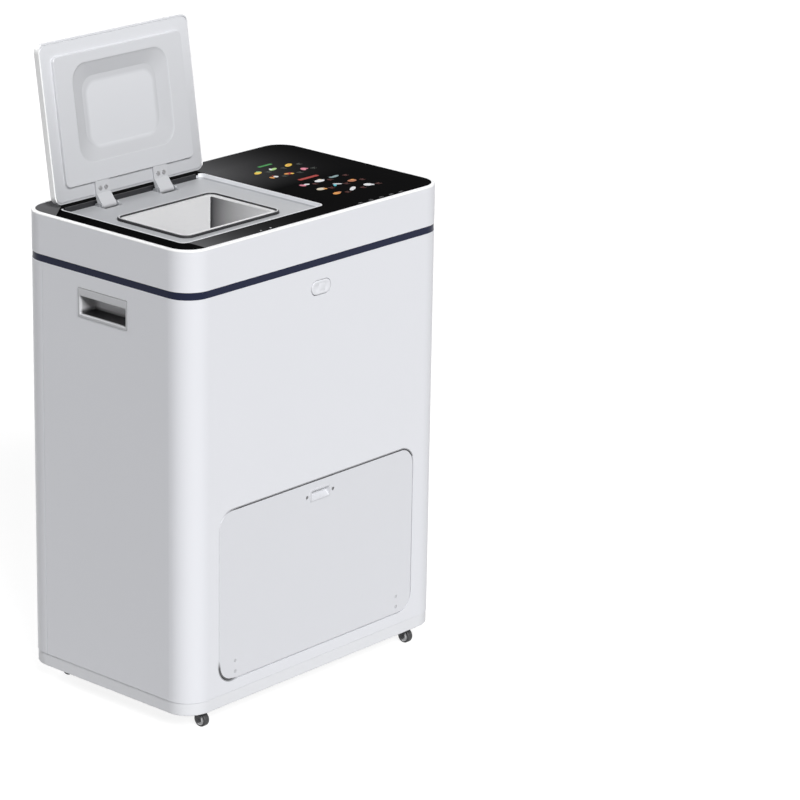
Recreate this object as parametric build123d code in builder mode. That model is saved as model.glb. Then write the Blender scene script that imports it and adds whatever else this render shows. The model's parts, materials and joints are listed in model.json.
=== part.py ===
"""Electric food waste composter: a cabinet on casters with a lidded inlet, a stirred chamber and a drawer.

X runs across the front, the front faces -Y and Z is up. The origin is on the floor under the cabinet's
middle. The lid stands open on its stop, the drawer is shut. All sizes are in millimetres.
"""

from build123d import *
from math import cos, pi, radians, sin
import os

os.makedirs("parts", exist_ok=True)

# ---------------------------------------------------------------- Driving dimensions
# Clearances
fit_gap = 0.3           # between neighbouring pieces that don't touch
running_gap = 0.05      # radial, round every turning shaft or pin
panel_gap = 0.8         # visible gap round the drawer front and the button

# Cabinet
body_width = 490
body_depth = 306
corner_radius = 36
shell_wall = 2.5
ground_gap = 26         # floor to the skirt's lower edge
skirt_height = 17
skirt_inset = 0.8
skirt_wall = 3
floor_recess = 4        # skirt's lower edge to the base pan's floor
floor_thickness = 3
seam_gap = 0.6
lap_height = 7          # tongues that locate one casing ring in the next
shell_height = 547.4
stripe_height = 10
stripe_inset = 0.6
housing_height = 55
housing_wall = 3
rim_width = 5
rim_round = 2.2
rear_seam_inset = 41    # rear face to the seam between front shell and rear cover

# Glass top and the shelf that carries it
glass_thickness = 3
glass_shelf = 4
board_thickness = 1.6
display_side = 21       # side face to the display window
display_gap = 20        # between the inlet and the display window
display_end = 28        # front and rear face to the display window
key_pad = 12
chip_size = 24

# Inlet
inlet_side = 29         # left face to the glass cut-out
inlet_front = 36        # front face to the glass cut-out
inlet_width = 262
inlet_length = 229
inlet_corner = 10
deck_drop = 7           # glass surface to the deck's floor
deck_thickness = 2.5
deck_wall = 2
deck_flange = 6
groove_depth = 1
seal_width = 4
hinge_cover_thickness = 2.3

# Feed throat
throat_width = 162
throat_length = 114
throat_corner = 5
throat_wall = 1.2
throat_flange = 5
throat_flange_thickness = 1.5
throat_shift_x = -7     # from the middle of the inlet
throat_shift_y = -18.5

# Lid
lid_width = 272
lid_length = 210
lid_thickness = 10
lid_corner = 12
lid_wall = 2
lid_edge_round = 3
lid_lean = 8.5          # degrees past upright when open
lid_gap = 1.0           # lid rim to glass when shut
liner_thickness = 2
liner_border = 20
liner_front_border = 20
liner_rise = 4
dish_depth = 8
dish_side = 50
dish_rear = 46
dish_front = 34
dish_slope = 26
dish_corner = 24
dish_floor_corner = 20

# Lid hinge
pivot_inset = 11        # cut-out's rear edge to the hinge axis
pivot_drop = 6.5        # glass surface to the hinge axis
pivot_behind = 12.5     # shut lid's rear edge to the hinge axis
arm_spacing = 106
arm_width = 25
arm_thickness = 3
arm_reach = 20
knuckle_radius = 4.5
hinge_pin_radius = 2
lug_thickness = 2.5
lug_length = 14
lug_rise = 3.5          # lug top above the hinge axis
bracket_depth = 11.5    # hinge axis to the bracket's underside
bracket_wall = 2
bracket_flange = 8
pocket_front = 13       # hinge axis to the pocket's front edge
lid_screw_radius = 1.5
lid_screw_head = 3
lid_screw_spacing = 10

# Chamber and stirrer
chamber_radius = 98
chamber_length = 250
chamber_wall = 1.5
chamber_side = 40       # left face to the chamber's inside
shaft_setback = 138     # front face to the shaft
chamber_top_drop = 3    # shell top to the chamber's rim
shaft_radius = 10
paddle_count = 5
paddle_reach = 91
paddle_rod_radius = 5
paddle_hub_wall = 5
paddle_hub_length = 18
blade_width = 34
blade_height = 22
blade_thickness = 4
bearing_length = 8.5
bearing_size = 46
heater_length = 190
heater_height = 84
heater_thickness = 2
heater_rise = 22        # shaft axis to the pads' lower edge

# Drive
gear_module = 2
drive_teeth = 48
pinion_teeth = 16
gear_width = 10
tooth_thickness = 2.3   # at the pitch circle, leaves backlash
tooth_tip = 1.0
motor_shaft_radius = 6
gearbox_size = 64
gearbox_length = 45
motor_radius = 30
motor_length = 76
bracket_plate = 3
bracket_border = 4      # bracket plate round the gearbox

# Discharge
spout_width = 104
spout_length = 56
spout_drop = 13         # below the trough's lowest line
spout_rise = 21.5       # shelf to the spout's mouth
gate_width = 120
gate_length = 72
gate_thickness = 5
gate_travel = 70
guide_width = 9
guide_lip = 3
guide_bite = 3.5
chute_width = 114
chute_length = 66
chute_wall = 2
chute_below = 19        # below the shelf
actuator_radius = 9
actuator_wall = 1.5
actuator_length = 104
actuator_rod_radius = 2.4
saddle_length = 8
saddle_inset = 14

# Inner frame
shelf_rise = 10         # drawer front's top edge to the shelf's top face
shelf_thickness = 2
post_leg = 20
post_wall = 2
post_side = 17          # side face to the posts
side_plate_wall = 2

# Drawer
drawer_width = 376
drawer_height = 236
drawer_bottom = 60
drawer_corner = 24
front_thickness = 12
front_face = 3
front_lip = 2
bin_width = 330
bin_length = 226
bin_lower_gap = 6       # drawer front's lower edge to the bin's floor
bin_upper_gap = 12      # bin's rim to the drawer front's top edge
bin_wall = 2.5
bin_corner = 14
drawer_travel = 180
runner_height = 14
runner_width = 14
runner_length = 220
rail_wall = 1.5
rail_drop = 64          # drawer front's top edge to the rail's lower face
pull_shift = 2.5
pull_drop = 20          # drawer front's top edge to the pull's middle
pull_width = 36
pull_tall = 14
pull_depth = 8
pull_wall = 1.2
pull_flange = 1.5
pull_screw_spacing = 50
low_screw_side = 158
low_screw_lift = 10     # drawer front's lower edge to the lower screws
low_screw_rise = 15
ear_width = 14
ear_border = 4
drawer_screw_radius = 1.4
drawer_screw_head = 2.2

# Handle pockets
handle_width = 90
handle_height = 40
handle_middle = 552
handle_depth = 26
handle_wall = 1.8
handle_rim = 3
handle_proud = 0.8
handle_top_flange = 11
handle_low_flange = 4

# Front button
button_width = 37
button_height = 20
button_middle = 561.5
button_proud = 0.6
button_thickness = 4
button_travel = 2
button_cup_depth = 12
button_cup_wall = 1.5
button_stem_radius = 2.5
spring_radius = 4.5
spring_wire = 0.4
spring_turns = 4

# Air path
duct_radius = 20
duct_wall = 2
duct_bend = 25
duct_height = 622
duct_from_shaft = 75    # duct inlet behind the shaft
duct_from_end = 25      # duct inlet to the chamber's right end
fan_size = 84
fan_height = 26
fan_shift = 100         # fan axis to the duct's inlet
fan_wall = 2.5
fan_bore = 38
fan_hub = 14
fan_tip = 36
fan_blades = 7
fan_post_radius = 2.5
filter_width = 100
filter_height = 88
filter_wall = 2
cartridge_grip = 26     # cartridge to the door's opening
door_gap = 0.4
door_thickness = 2.5
door_border = 12
door_pin_radius = 0.8
door_pin_length = 3

# Rear cover
louvre_count = 6
louvre_width = 90
louvre_height = 4
louvre_pitch = 12
louvre_low = 330
boss_radius = 4.5
cover_screw_radius = 2
cover_screw_head = 3.8
cover_screw_heights = (90, 320, 550)

# Electrics
inlet_module_side = 64  # right face to the power inlet's middle
inlet_module_height = 92
module_width = 50
module_height = 62
module_depth = 25
module_flange = 3
socket_width = 24
socket_height = 17
socket_depth = 16
rocker_width = 20
rocker_height = 13
rocker_rise = 18
rocker_gap = 0.6        # above and below, for the tilt
rocker_tilt = 7         # degrees either side of level
supply_side = 39        # side face to the power supply and the main board
supply_front = 8        # front posts to the power supply
supply_length = 56
supply_height = 40
vent_radius = 3
vent_pitch = 12
control_length = 80
control_rear = 10       # rear posts to the main board
relay_width = 16
relay_length = 12
relay_height = 7
relay_pitch = 26
standoff_height = 8
standoff_inset = 6

# Casters
wheel_radius = 10
wheel_width = 9
axle_radius = 1.5
caster_trail = 8
caster_side = 44        # side face to the swivel axis
caster_front = 27       # front face to the swivel axis
cheek_thickness = 1.5
cheek_gap = 0.6
fork_crown = 2.2
caster_plate_size = 30
caster_plate_thickness = 2
rivet_radius = 3
rivet_head = 4.6

# ---------------------------------------------------------------- Worked-out heights and places
front_y = -body_depth / 2
rear_y = body_depth / 2
skirt_bottom = ground_gap
skirt_top = skirt_bottom + skirt_height
floor_bottom = skirt_bottom + floor_recess
floor_top = floor_bottom + floor_thickness
shell_bottom = skirt_top + seam_gap
shell_top = shell_bottom + shell_height
stripe_top = shell_top + stripe_height
glass_top = stripe_top + housing_height
glass_bottom = glass_top - glass_thickness
shelf_bottom = glass_bottom - glass_shelf
seam_y = rear_y - rear_seam_inset
inner_half_width = body_width / 2 - shell_wall
inner_half_depth = body_depth / 2 - shell_wall

inlet_x = -body_width / 2 + inlet_side + inlet_width / 2
inlet_y = front_y + inlet_front + inlet_length / 2
inlet_rear = inlet_y + inlet_length / 2
deck_top = glass_top - deck_drop
deck_bottom = deck_top - deck_thickness
throat_x = inlet_x + throat_shift_x
throat_y = inlet_y + throat_shift_y

cup_width = handle_width - 2 * handle_rim
cup_height = handle_height - 2 * handle_rim
chamber_left = -body_width / 2 + chamber_side
chamber_right = chamber_left + chamber_length
chamber_x = (chamber_left + chamber_right) / 2
shaft_y = front_y + shaft_setback
trough_radius = chamber_radius + chamber_wall
drawer_top = drawer_bottom + drawer_height
shelf_height = drawer_top + shelf_rise
pull_height = drawer_top - pull_drop
rail_height = drawer_top - rail_drop
low_screw_height = drawer_bottom + low_screw_lift
spout_bottom = shelf_height + spout_rise
shaft_height = spout_bottom + spout_drop + trough_radius
chamber_top = shell_top - chamber_top_drop
cover_top = chamber_top + throat_wall
shelf_underside = shelf_height - shelf_thickness

pivot_y = inlet_rear - pivot_inset
pivot_z = glass_top - pivot_drop
knuckle_bore = hinge_pin_radius + running_gap


def body_outline(inset):
    """Rounded outline of the cabinet, drawn inset from the outer face."""
    RectangleRounded(body_width - 2 * inset, body_depth - 2 * inset, corner_radius - inset)


def finish(part, name):
    """Label a finished piece and write it to its own file."""
    part.label = name
    export_step(part, f"parts/{name}.step")


# ================================================================ Casing
# Base pan: floor and skirt with a tongue that the shells slip over
with BuildPart() as base_pan:
    with BuildSketch(Plane.XY.offset(skirt_bottom)):
        body_outline(skirt_inset)
        pan_inset = skirt_inset + skirt_wall
        RectangleRounded(
            body_width - 2 * pan_inset,
            body_depth - 2 * pan_inset,
            corner_radius - pan_inset,
            mode=Mode.SUBTRACT,
        )
    extrude(amount=skirt_height)
    with BuildSketch(Plane.XY.offset(floor_bottom)):
        body_outline(skirt_inset + skirt_wall / 2)
    extrude(amount=floor_thickness)
    with BuildSketch(Plane.XY.offset(floor_bottom)):
        body_outline(shell_wall + fit_gap)
        tongue_inner = shell_wall + fit_gap + skirt_wall
        RectangleRounded(
            body_width - 2 * tongue_inner,
            body_depth - 2 * tongue_inner,
            corner_radius - tongue_inner,
            mode=Mode.SUBTRACT,
        )
    extrude(amount=skirt_top + lap_height - floor_bottom)
    rim_edges = base_pan.edges().filter_by_position(Axis.Z, skirt_bottom, skirt_bottom)
    chamfer(rim_edges, 0.8)
finish(base_pan.part, "base_pan")


# Front shell: the front and both sides as one wrap
with BuildPart() as front_shell:
    with BuildSketch(Plane.XY.offset(shell_bottom)):
        body_outline(0)
        RectangleRounded(
            2 * inner_half_width,
            2 * inner_half_depth,
            corner_radius - shell_wall,
            mode=Mode.SUBTRACT,
        )
        with Locations((0, seam_y)):
            Rectangle(body_width, body_depth, align=(Align.CENTER, Align.MIN), mode=Mode.SUBTRACT)
    extrude(amount=shell_height)
    drawer_middle = drawer_bottom + drawer_height / 2
    with BuildSketch(Plane.XZ.offset(-front_y + 1)):
        with Locations((0, drawer_middle)):
            RectangleRounded(
                drawer_width + 2 * panel_gap,
                drawer_height + 2 * panel_gap,
                drawer_corner + panel_gap,
            )
        with Locations((0, button_middle)):
            SlotOverall(button_width + 2 * fit_gap, button_height + 2 * fit_gap)
    extrude(amount=-shell_wall - 2, mode=Mode.SUBTRACT)
    # Openings for the handle pockets
    with BuildSketch(Plane.YZ.offset(-body_width / 2 - 1)):
        with Locations((0, handle_middle)):
            Rectangle(cup_width + 2 * fit_gap, cup_height + 2 * fit_gap)
    extrude(amount=body_width + 2, mode=Mode.SUBTRACT)
finish(front_shell.part, "front_shell")

# ---------------------------------------------------------------- Rear cover
fan_x = chamber_right - duct_from_end + fan_shift
fan_y = shaft_y + duct_from_shaft
fan_bottom = duct_height - duct_bend - fan_height - fit_gap
filter_top = fan_bottom
filter_bottom = filter_top - filter_height
filter_inner_width = filter_width - 2 * filter_wall
filter_inner_height = filter_height - 2 * filter_wall
door_width = filter_inner_width - 2 * door_gap
door_height = filter_inner_height - 2 * door_gap
door_x = fan_x
door_middle = (filter_top + filter_bottom) / 2
hinge_x = door_x - door_width / 2 + door_thickness / 2
door_mid_y = rear_y - door_thickness / 2
inlet_module_x = body_width / 2 - inlet_module_side
post_x = body_width / 2 - post_side
post_y = body_depth / 2 - post_side

with BuildPart() as rear_cover:
    with BuildSketch(Plane.XY.offset(shell_bottom)):
        body_outline(0)
        RectangleRounded(
            2 * inner_half_width,
            2 * inner_half_depth,
            corner_radius - shell_wall,
            mode=Mode.SUBTRACT,
        )
        with Locations((0, seam_y + seam_gap)):
            Rectangle(body_width, body_depth, align=(Align.CENTER, Align.MAX), mode=Mode.SUBTRACT)
    extrude(amount=shell_height)
    # Stepped edges that lap inside the front shell
    with BuildSketch(Plane.XY.offset(shell_bottom + lap_height + fit_gap)):
        with Locations((0, seam_y - lap_height)):
            Rectangle(
                2 * (inner_half_width - fit_gap),
                2 * lap_height,
                align=(Align.CENTER, Align.MIN),
            )
        with Locations((0, seam_y + seam_gap)):
            Rectangle(2 * inner_half_width, lap_height, align=(Align.CENTER, Align.MIN))
        with Locations((0, seam_y - lap_height)):
            Rectangle(
                2 * (inner_half_width - fit_gap - shell_wall),
                3 * lap_height,
                align=(Align.CENTER, Align.MIN),
                mode=Mode.SUBTRACT,
            )
    extrude(amount=shell_height - 2 * lap_height)
    # Screw bosses that stand on the frame's rear posts
    with BuildSketch(Plane.XZ.offset(-post_y - fit_gap)):
        with Locations(*[(s * (post_x - post_leg / 2), z) for s in (-1, 1) for z in cover_screw_heights]):
            Circle(boss_radius)
    extrude(amount=-(inner_half_depth - post_y))
    with BuildSketch(Plane.XZ.offset(-post_y + 1)):
        with Locations(*[(s * (post_x - post_leg / 2), z) for s in (-1, 1) for z in cover_screw_heights]):
            Circle(cover_screw_radius + running_gap * 4)
        with Locations((door_x, door_middle)):
            Rectangle(filter_inner_width, filter_inner_height)
        with Locations((inlet_module_x, inlet_module_height)):
            Rectangle(module_width + 2 * fit_gap, module_height + 2 * fit_gap)
        with Locations((-fan_x, louvre_low + louvre_pitch * (louvre_count - 1) / 2)):
            with GridLocations(louvre_width, louvre_pitch, 1, louvre_count):
                SlotOverall(louvre_width, louvre_height)
        with Locations((fan_x, louvre_low + louvre_pitch * (louvre_count - 1) / 2)):
            with GridLocations(louvre_width, louvre_pitch, 1, louvre_count):
                SlotOverall(louvre_width, louvre_height)
    extrude(amount=-(body_depth / 2 - post_y + 2), mode=Mode.SUBTRACT)
    # Holes for the filter door's hinge pins
    with BuildSketch(Plane.XY.offset(door_middle - door_height / 2 - door_gap - door_pin_length)):
        with Locations((hinge_x, door_mid_y)):
            Circle(door_pin_radius + running_gap)
    extrude(amount=door_height + 2 * (door_gap + door_pin_length), mode=Mode.SUBTRACT)
finish(rear_cover.part, "rear_cover")

# ---------------------------------------------------------------- Stripe band
with BuildPart() as stripe_band:
    with BuildSketch(Plane.XY.offset(shell_top)):
        body_outline(stripe_inset)
        stripe_inner = shell_wall + stripe_inset
        RectangleRounded(
            body_width - 2 * stripe_inner,
            body_depth - 2 * stripe_inner,
            corner_radius - stripe_inner,
            mode=Mode.SUBTRACT,
        )
    extrude(amount=stripe_height)
    # Tongue that locates the shells below the stripe
    with BuildSketch(Plane.XY.offset(shell_top - lap_height / 2)):
        body_outline(shell_wall + fit_gap)
        lap_inner = 2 * shell_wall + fit_gap
        RectangleRounded(
            body_width - 2 * lap_inner,
            body_depth - 2 * lap_inner,
            corner_radius - lap_inner,
            mode=Mode.SUBTRACT,
        )
    extrude(amount=lap_height / 2 + stripe_height)
finish(stripe_band.part, "stripe_band")

# ---------------------------------------------------------------- Top housing
display_width = body_width - inlet_side - inlet_width - display_gap - display_side
display_length = body_depth - 2 * display_end
display_x = body_width / 2 - display_side - display_width / 2

with BuildPart() as top_housing:
    with BuildSketch(Plane.XY.offset(stripe_top)):
        body_outline(0)
    extrude(amount=housing_height)
    fillet(top_housing.faces().sort_by(Axis.Z)[-1].edges(), rim_round)
    with BuildSketch(Plane.XY.offset(stripe_top)):
        body_outline(housing_wall)
    extrude(amount=shelf_bottom - stripe_top, mode=Mode.SUBTRACT)
    with BuildSketch(Plane.XY.offset(glass_bottom)):
        body_outline(rim_width)
    extrude(amount=glass_thickness, mode=Mode.SUBTRACT)
    with BuildSketch(Plane.XY.offset(shelf_bottom)):
        with Locations((inlet_x, inlet_y)):
            RectangleRounded(inlet_width, inlet_length, inlet_corner)
        with Locations((display_x, 0)):
            Rectangle(display_width, display_length)
    extrude(amount=glass_shelf, mode=Mode.SUBTRACT)
finish(top_housing.part, "top_housing")

with BuildPart() as glass_panel:
    with BuildSketch(Plane.XY.offset(glass_bottom)):
        body_outline(rim_width + fit_gap)
        with Locations((inlet_x, inlet_y)):
            RectangleRounded(inlet_width, inlet_length, inlet_corner, mode=Mode.SUBTRACT)
    extrude(amount=glass_thickness)
    chamfer(glass_panel.faces().sort_by(Axis.Z)[-1].edges(), 0.3)
finish(glass_panel.part, "glass_panel")

# Control board: touch pads and lamps under the display window
board_lap = 3
with BuildPart() as control_board:
    with BuildSketch(Plane.XY.offset(shelf_bottom - board_thickness)):
        with Locations((display_x, 0)):
            Rectangle(display_width + 2 * board_lap, display_length + 2 * board_lap)
    extrude(amount=board_thickness)
    with BuildSketch(Plane.XY.offset(shelf_bottom)):
        with Locations((display_x, 0)):
            with GridLocations(display_width / 5, display_length / 6, 4, 5):
                Rectangle(key_pad, key_pad)
    extrude(amount=glass_shelf / 2)
    with BuildSketch(Plane.XY.offset(shelf_bottom - board_thickness)):
        with Locations((display_x, -display_length / 4), (display_x, display_length / 4)):
            Rectangle(chip_size, chip_size)
    extrude(amount=-2 * board_thickness)
finish(control_board.part, "control_board")

# ================================================================ Inlet
deck_outer_width = inlet_width - 2 * fit_gap
deck_outer_length = inlet_length - 2 * fit_gap
hinge_cover_y = inlet_rear - fit_gap - hinge_cover_thickness
arm_xs = (inlet_x - arm_spacing / 2, inlet_x + arm_spacing / 2)
pocket_half = arm_width / 2 + 2 * fit_gap + lug_thickness + fit_gap
pocket_rear = pivot_y + lug_length / 2 + fit_gap

with BuildPart() as inlet_deck:
    with BuildSketch(Plane.XY.offset(deck_bottom)):
        with Locations((inlet_x, inlet_y)):
            RectangleRounded(
                inlet_width + 2 * deck_flange,
                inlet_length + 2 * deck_flange,
                inlet_corner + deck_flange,
            )
    extrude(amount=deck_thickness)
    with BuildSketch(Plane.XY.offset(shelf_bottom)):
        with Locations((inlet_x, inlet_y)):
            RectangleRounded(deck_outer_width, deck_outer_length, inlet_corner - fit_gap)
            RectangleRounded(
                deck_outer_width - 2 * deck_wall,
                deck_outer_length - 2 * deck_wall,
                inlet_corner - fit_gap - deck_wall,
                mode=Mode.SUBTRACT,
            )
        with Locations((inlet_x, hinge_cover_y - fit_gap)):
            Rectangle(
                inlet_width,
                inlet_length,
                align=(Align.CENTER, Align.MIN),
                mode=Mode.SUBTRACT,
            )
    extrude(amount=glass_top - shelf_bottom)
    # Seal groove round the opening, and the opening
    with BuildSketch(Plane.XY.offset(deck_top - groove_depth)):
        with Locations((throat_x, throat_y)):
            groove = throat_flange + 2 * fit_gap + seal_width
            RectangleRounded(
                throat_width + 2 * groove + 2 * fit_gap,
                throat_length + 2 * groove + 2 * fit_gap,
                throat_corner + groove + fit_gap,
            )
            RectangleRounded(
                throat_width + 2 * throat_flange,
                throat_length + 2 * throat_flange,
                throat_corner + throat_flange,
                mode=Mode.SUBTRACT,
            )
    extrude(amount=groove_depth, mode=Mode.SUBTRACT)
    with BuildSketch(Plane.XY.offset(deck_bottom)):
        with Locations((throat_x, throat_y)):
            RectangleRounded(
                throat_width + 2 * fit_gap,
                throat_length + 2 * fit_gap,
                throat_corner + fit_gap,
            )
        # Pockets that the hinge brackets reach up through
        for arm_x in arm_xs:
            with Locations((arm_x, pocket_rear)):
                Rectangle(
                    2 * pocket_half,
                    pocket_rear - pivot_y + pocket_front,
                    align=(Align.CENTER, Align.MAX),
                )
    extrude(amount=deck_thickness, mode=Mode.SUBTRACT)
finish(inlet_deck.part, "inlet_deck")

seal_top = glass_top + lid_gap - liner_rise - fit_gap
with BuildPart() as inlet_seal:
    with BuildSketch(Plane.XY.offset(deck_top - groove_depth)):
        with Locations((throat_x, throat_y)):
            seal_inner = throat_flange + fit_gap
            seal_outer = seal_inner + seal_width
            RectangleRounded(
                throat_width + 2 * seal_outer,
                throat_length + 2 * seal_outer,
                throat_corner + seal_outer,
            )
            RectangleRounded(
                throat_width + 2 * seal_inner,
                throat_length + 2 * seal_inner,
                throat_corner + seal_inner,
                mode=Mode.SUBTRACT,
            )
    extrude(amount=seal_top - deck_top + groove_depth)
    with BuildSketch(Plane.XY.offset(seal_top)):
        with Locations((throat_x, throat_y)):
            bead_outer = seal_outer - 1.2
            bead_inner = seal_inner + 1.2
            RectangleRounded(
                throat_width + 2 * bead_outer,
                throat_length + 2 * bead_outer,
                throat_corner + bead_outer,
            )
            RectangleRounded(
                throat_width + 2 * bead_inner,
                throat_length + 2 * bead_inner,
                throat_corner + bead_inner,
                mode=Mode.SUBTRACT,
            )
    extrude(amount=-1.5, mode=Mode.SUBTRACT)
finish(inlet_seal.part, "inlet_seal")

with BuildPart() as hinge_cover:
    with BuildSketch(Plane.XY.offset(deck_top)):
        with Locations((inlet_x, hinge_cover_y)):
            Rectangle(
                deck_outer_width - 2 * inlet_corner,
                hinge_cover_thickness,
                align=(Align.CENTER, Align.MIN),
            )
    extrude(amount=deck_drop - fit_gap)
    fillet(hinge_cover.faces().sort_by(Axis.Z)[-1].edges().sort_by(Axis.Y)[0], 0.8)
finish(hinge_cover.part, "hinge_cover")

# Feed throat: stainless collar welded to the chamber's cover plate
duct_x = chamber_right - duct_from_end
duct_y = shaft_y + duct_from_shaft
with BuildPart() as feed_throat:
    with BuildSketch(Plane.XY.offset(chamber_top)):
        with Locations((chamber_x, shaft_y)):
            Rectangle(chamber_length + 2 * chamber_wall, 2 * trough_radius)
    extrude(amount=throat_wall)
    with BuildSketch(Plane.XY.offset(chamber_top)):
        with Locations((throat_x, throat_y)):
            RectangleRounded(throat_width, throat_length, throat_corner)
    extrude(amount=deck_top - chamber_top)
    with BuildSketch(Plane.XY.offset(deck_top)):
        with Locations((throat_x, throat_y)):
            RectangleRounded(
                throat_width + 2 * throat_flange,
                throat_length + 2 * throat_flange,
                throat_corner + throat_flange,
            )
    extrude(amount=throat_flange_thickness)
    fillet(feed_throat.faces().sort_by(Axis.Z)[-1].edges(), 0.6)
    with BuildSketch(Plane.XY.offset(chamber_top)):
        with Locations((throat_x, throat_y)):
            RectangleRounded(
                throat_width - 2 * throat_wall,
                throat_length - 2 * throat_wall,
                throat_corner - throat_wall,
            )
        with Locations((duct_x, duct_y)):
            Circle(duct_radius - duct_wall)
    extrude(amount=deck_top + throat_flange_thickness - chamber_top, mode=Mode.SUBTRACT)
finish(feed_throat.part, "feed_throat")

# ---------------------------------------------------------------- Lid hinge on the deck
lug_inner = arm_width / 2 + 2 * fit_gap
lug_outer = lug_inner + lug_thickness
bracket_bottom = pivot_z - bracket_depth
with BuildPart() as hinge_brackets:
    for arm_x in arm_xs:
        with BuildSketch(Plane.XY.offset(bracket_bottom)):
            with Locations((arm_x, pivot_y)):
                Rectangle(2 * lug_outer, lug_length)
        extrude(amount=bracket_wall)
        with BuildSketch(Plane.XY.offset(bracket_bottom)):
            for side in (-1, 1):
                with Locations((arm_x + side * (lug_inner + lug_thickness / 2), pivot_y)):
                    Rectangle(lug_thickness, lug_length)
        extrude(amount=bracket_depth + lug_rise)
        with BuildSketch(Plane.XY.offset(deck_bottom - bracket_wall)):
            for side in (-1, 1):
                with Locations((arm_x + side * (lug_outer + bracket_flange / 2), pivot_y)):
                    Rectangle(bracket_flange + fit_gap, lug_length)
        extrude(amount=bracket_wall)
    with BuildSketch(Plane.YZ.offset(arm_xs[0] - lug_outer)):
        with Locations((pivot_y, pivot_z)):
            Circle(hinge_pin_radius + running_gap / 2)
    extrude(amount=arm_spacing + 2 * lug_outer, mode=Mode.SUBTRACT)
    lug_tops = hinge_brackets.edges().filter_by_position(
        Axis.Z, pivot_z + lug_rise - 0.01, pivot_z + lug_rise + 0.01
    ).filter_by(Axis.X)
    fillet(lug_tops, 3)
finish(hinge_brackets.part, "hinge_brackets")

with BuildPart() as hinge_pins:
    for arm_x in arm_xs:
        with BuildSketch(Plane.YZ.offset(arm_x - lug_outer)):
            with Locations((pivot_y, pivot_z)):
                Circle(hinge_pin_radius)
        extrude(amount=2 * lug_outer)
    chamfer(hinge_pins.edges().filter_by(GeomType.CIRCLE), 0.3)
finish(hinge_pins.part, "hinge_pins")

# ================================================================ Lid, open on its stop
# Lid axes: s runs from the hinge edge to the front edge, n points out of the lid's inner face
lean_sin = sin(radians(lid_lean))
lean_cos = cos(radians(lid_lean))
pivot_n = lid_gap + pivot_drop
edge_y = pivot_y + pivot_behind * lean_sin + pivot_n * lean_cos
edge_z = pivot_z + pivot_behind * lean_cos - pivot_n * lean_sin
lid_plane = Plane(
    origin=(inlet_x, edge_y, edge_z),
    x_dir=(1, 0, 0),
    z_dir=(0, -lean_cos, lean_sin),
)
lid_axis = Axis(lid_plane.origin, lid_plane.z_dir)


def lid_rectangle(width, s_low, s_high, radius, mode=Mode.ADD):
    """Rounded rectangle in the lid's plane between two distances from the hinge edge."""
    with Locations((0, (s_low + s_high) / 2)):
        RectangleRounded(width, s_high - s_low, radius, mode=mode)


liner_edge = lid_wall + fit_gap
with BuildPart() as lid_cover:
    with BuildSketch(lid_plane.offset(-lid_thickness)):
        lid_rectangle(lid_width, 0, lid_length, lid_corner)
    extrude(amount=lid_thickness)
    outer_face = lid_cover.faces().sort_by(lid_axis)[0]
    fillet(outer_face.edges(), lid_edge_round)
    with BuildSketch(lid_plane.offset(-lid_thickness + lid_wall)):
        inner = lid_wall + rim_width
        lid_rectangle(lid_width - 2 * inner, inner, lid_length - inner, lid_corner - inner / 2)
    extrude(amount=lid_thickness, mode=Mode.SUBTRACT)
    with BuildSketch(lid_plane.offset(-liner_thickness)):
        lid_rectangle(lid_width - 2 * lid_wall, lid_wall, lid_length - lid_wall, lid_corner - lid_wall)
    extrude(amount=liner_thickness, mode=Mode.SUBTRACT)
finish(lid_cover.part, "lid_cover")

plateau_width = lid_width - 2 * liner_border
plateau_low = liner_border
plateau_high = lid_length - liner_front_border
dish_width = lid_width - 2 * dish_side
dish_high = lid_length - dish_front
arm_notch = arm_reach + fit_gap - liner_border + 2


def dish_rectangle(inset, radius):
    """Outline of the lid's dish, drawn in from its rim by the inset."""
    lid_rectangle(dish_width - 2 * inset, dish_rear + inset, dish_high - inset, radius)


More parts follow.
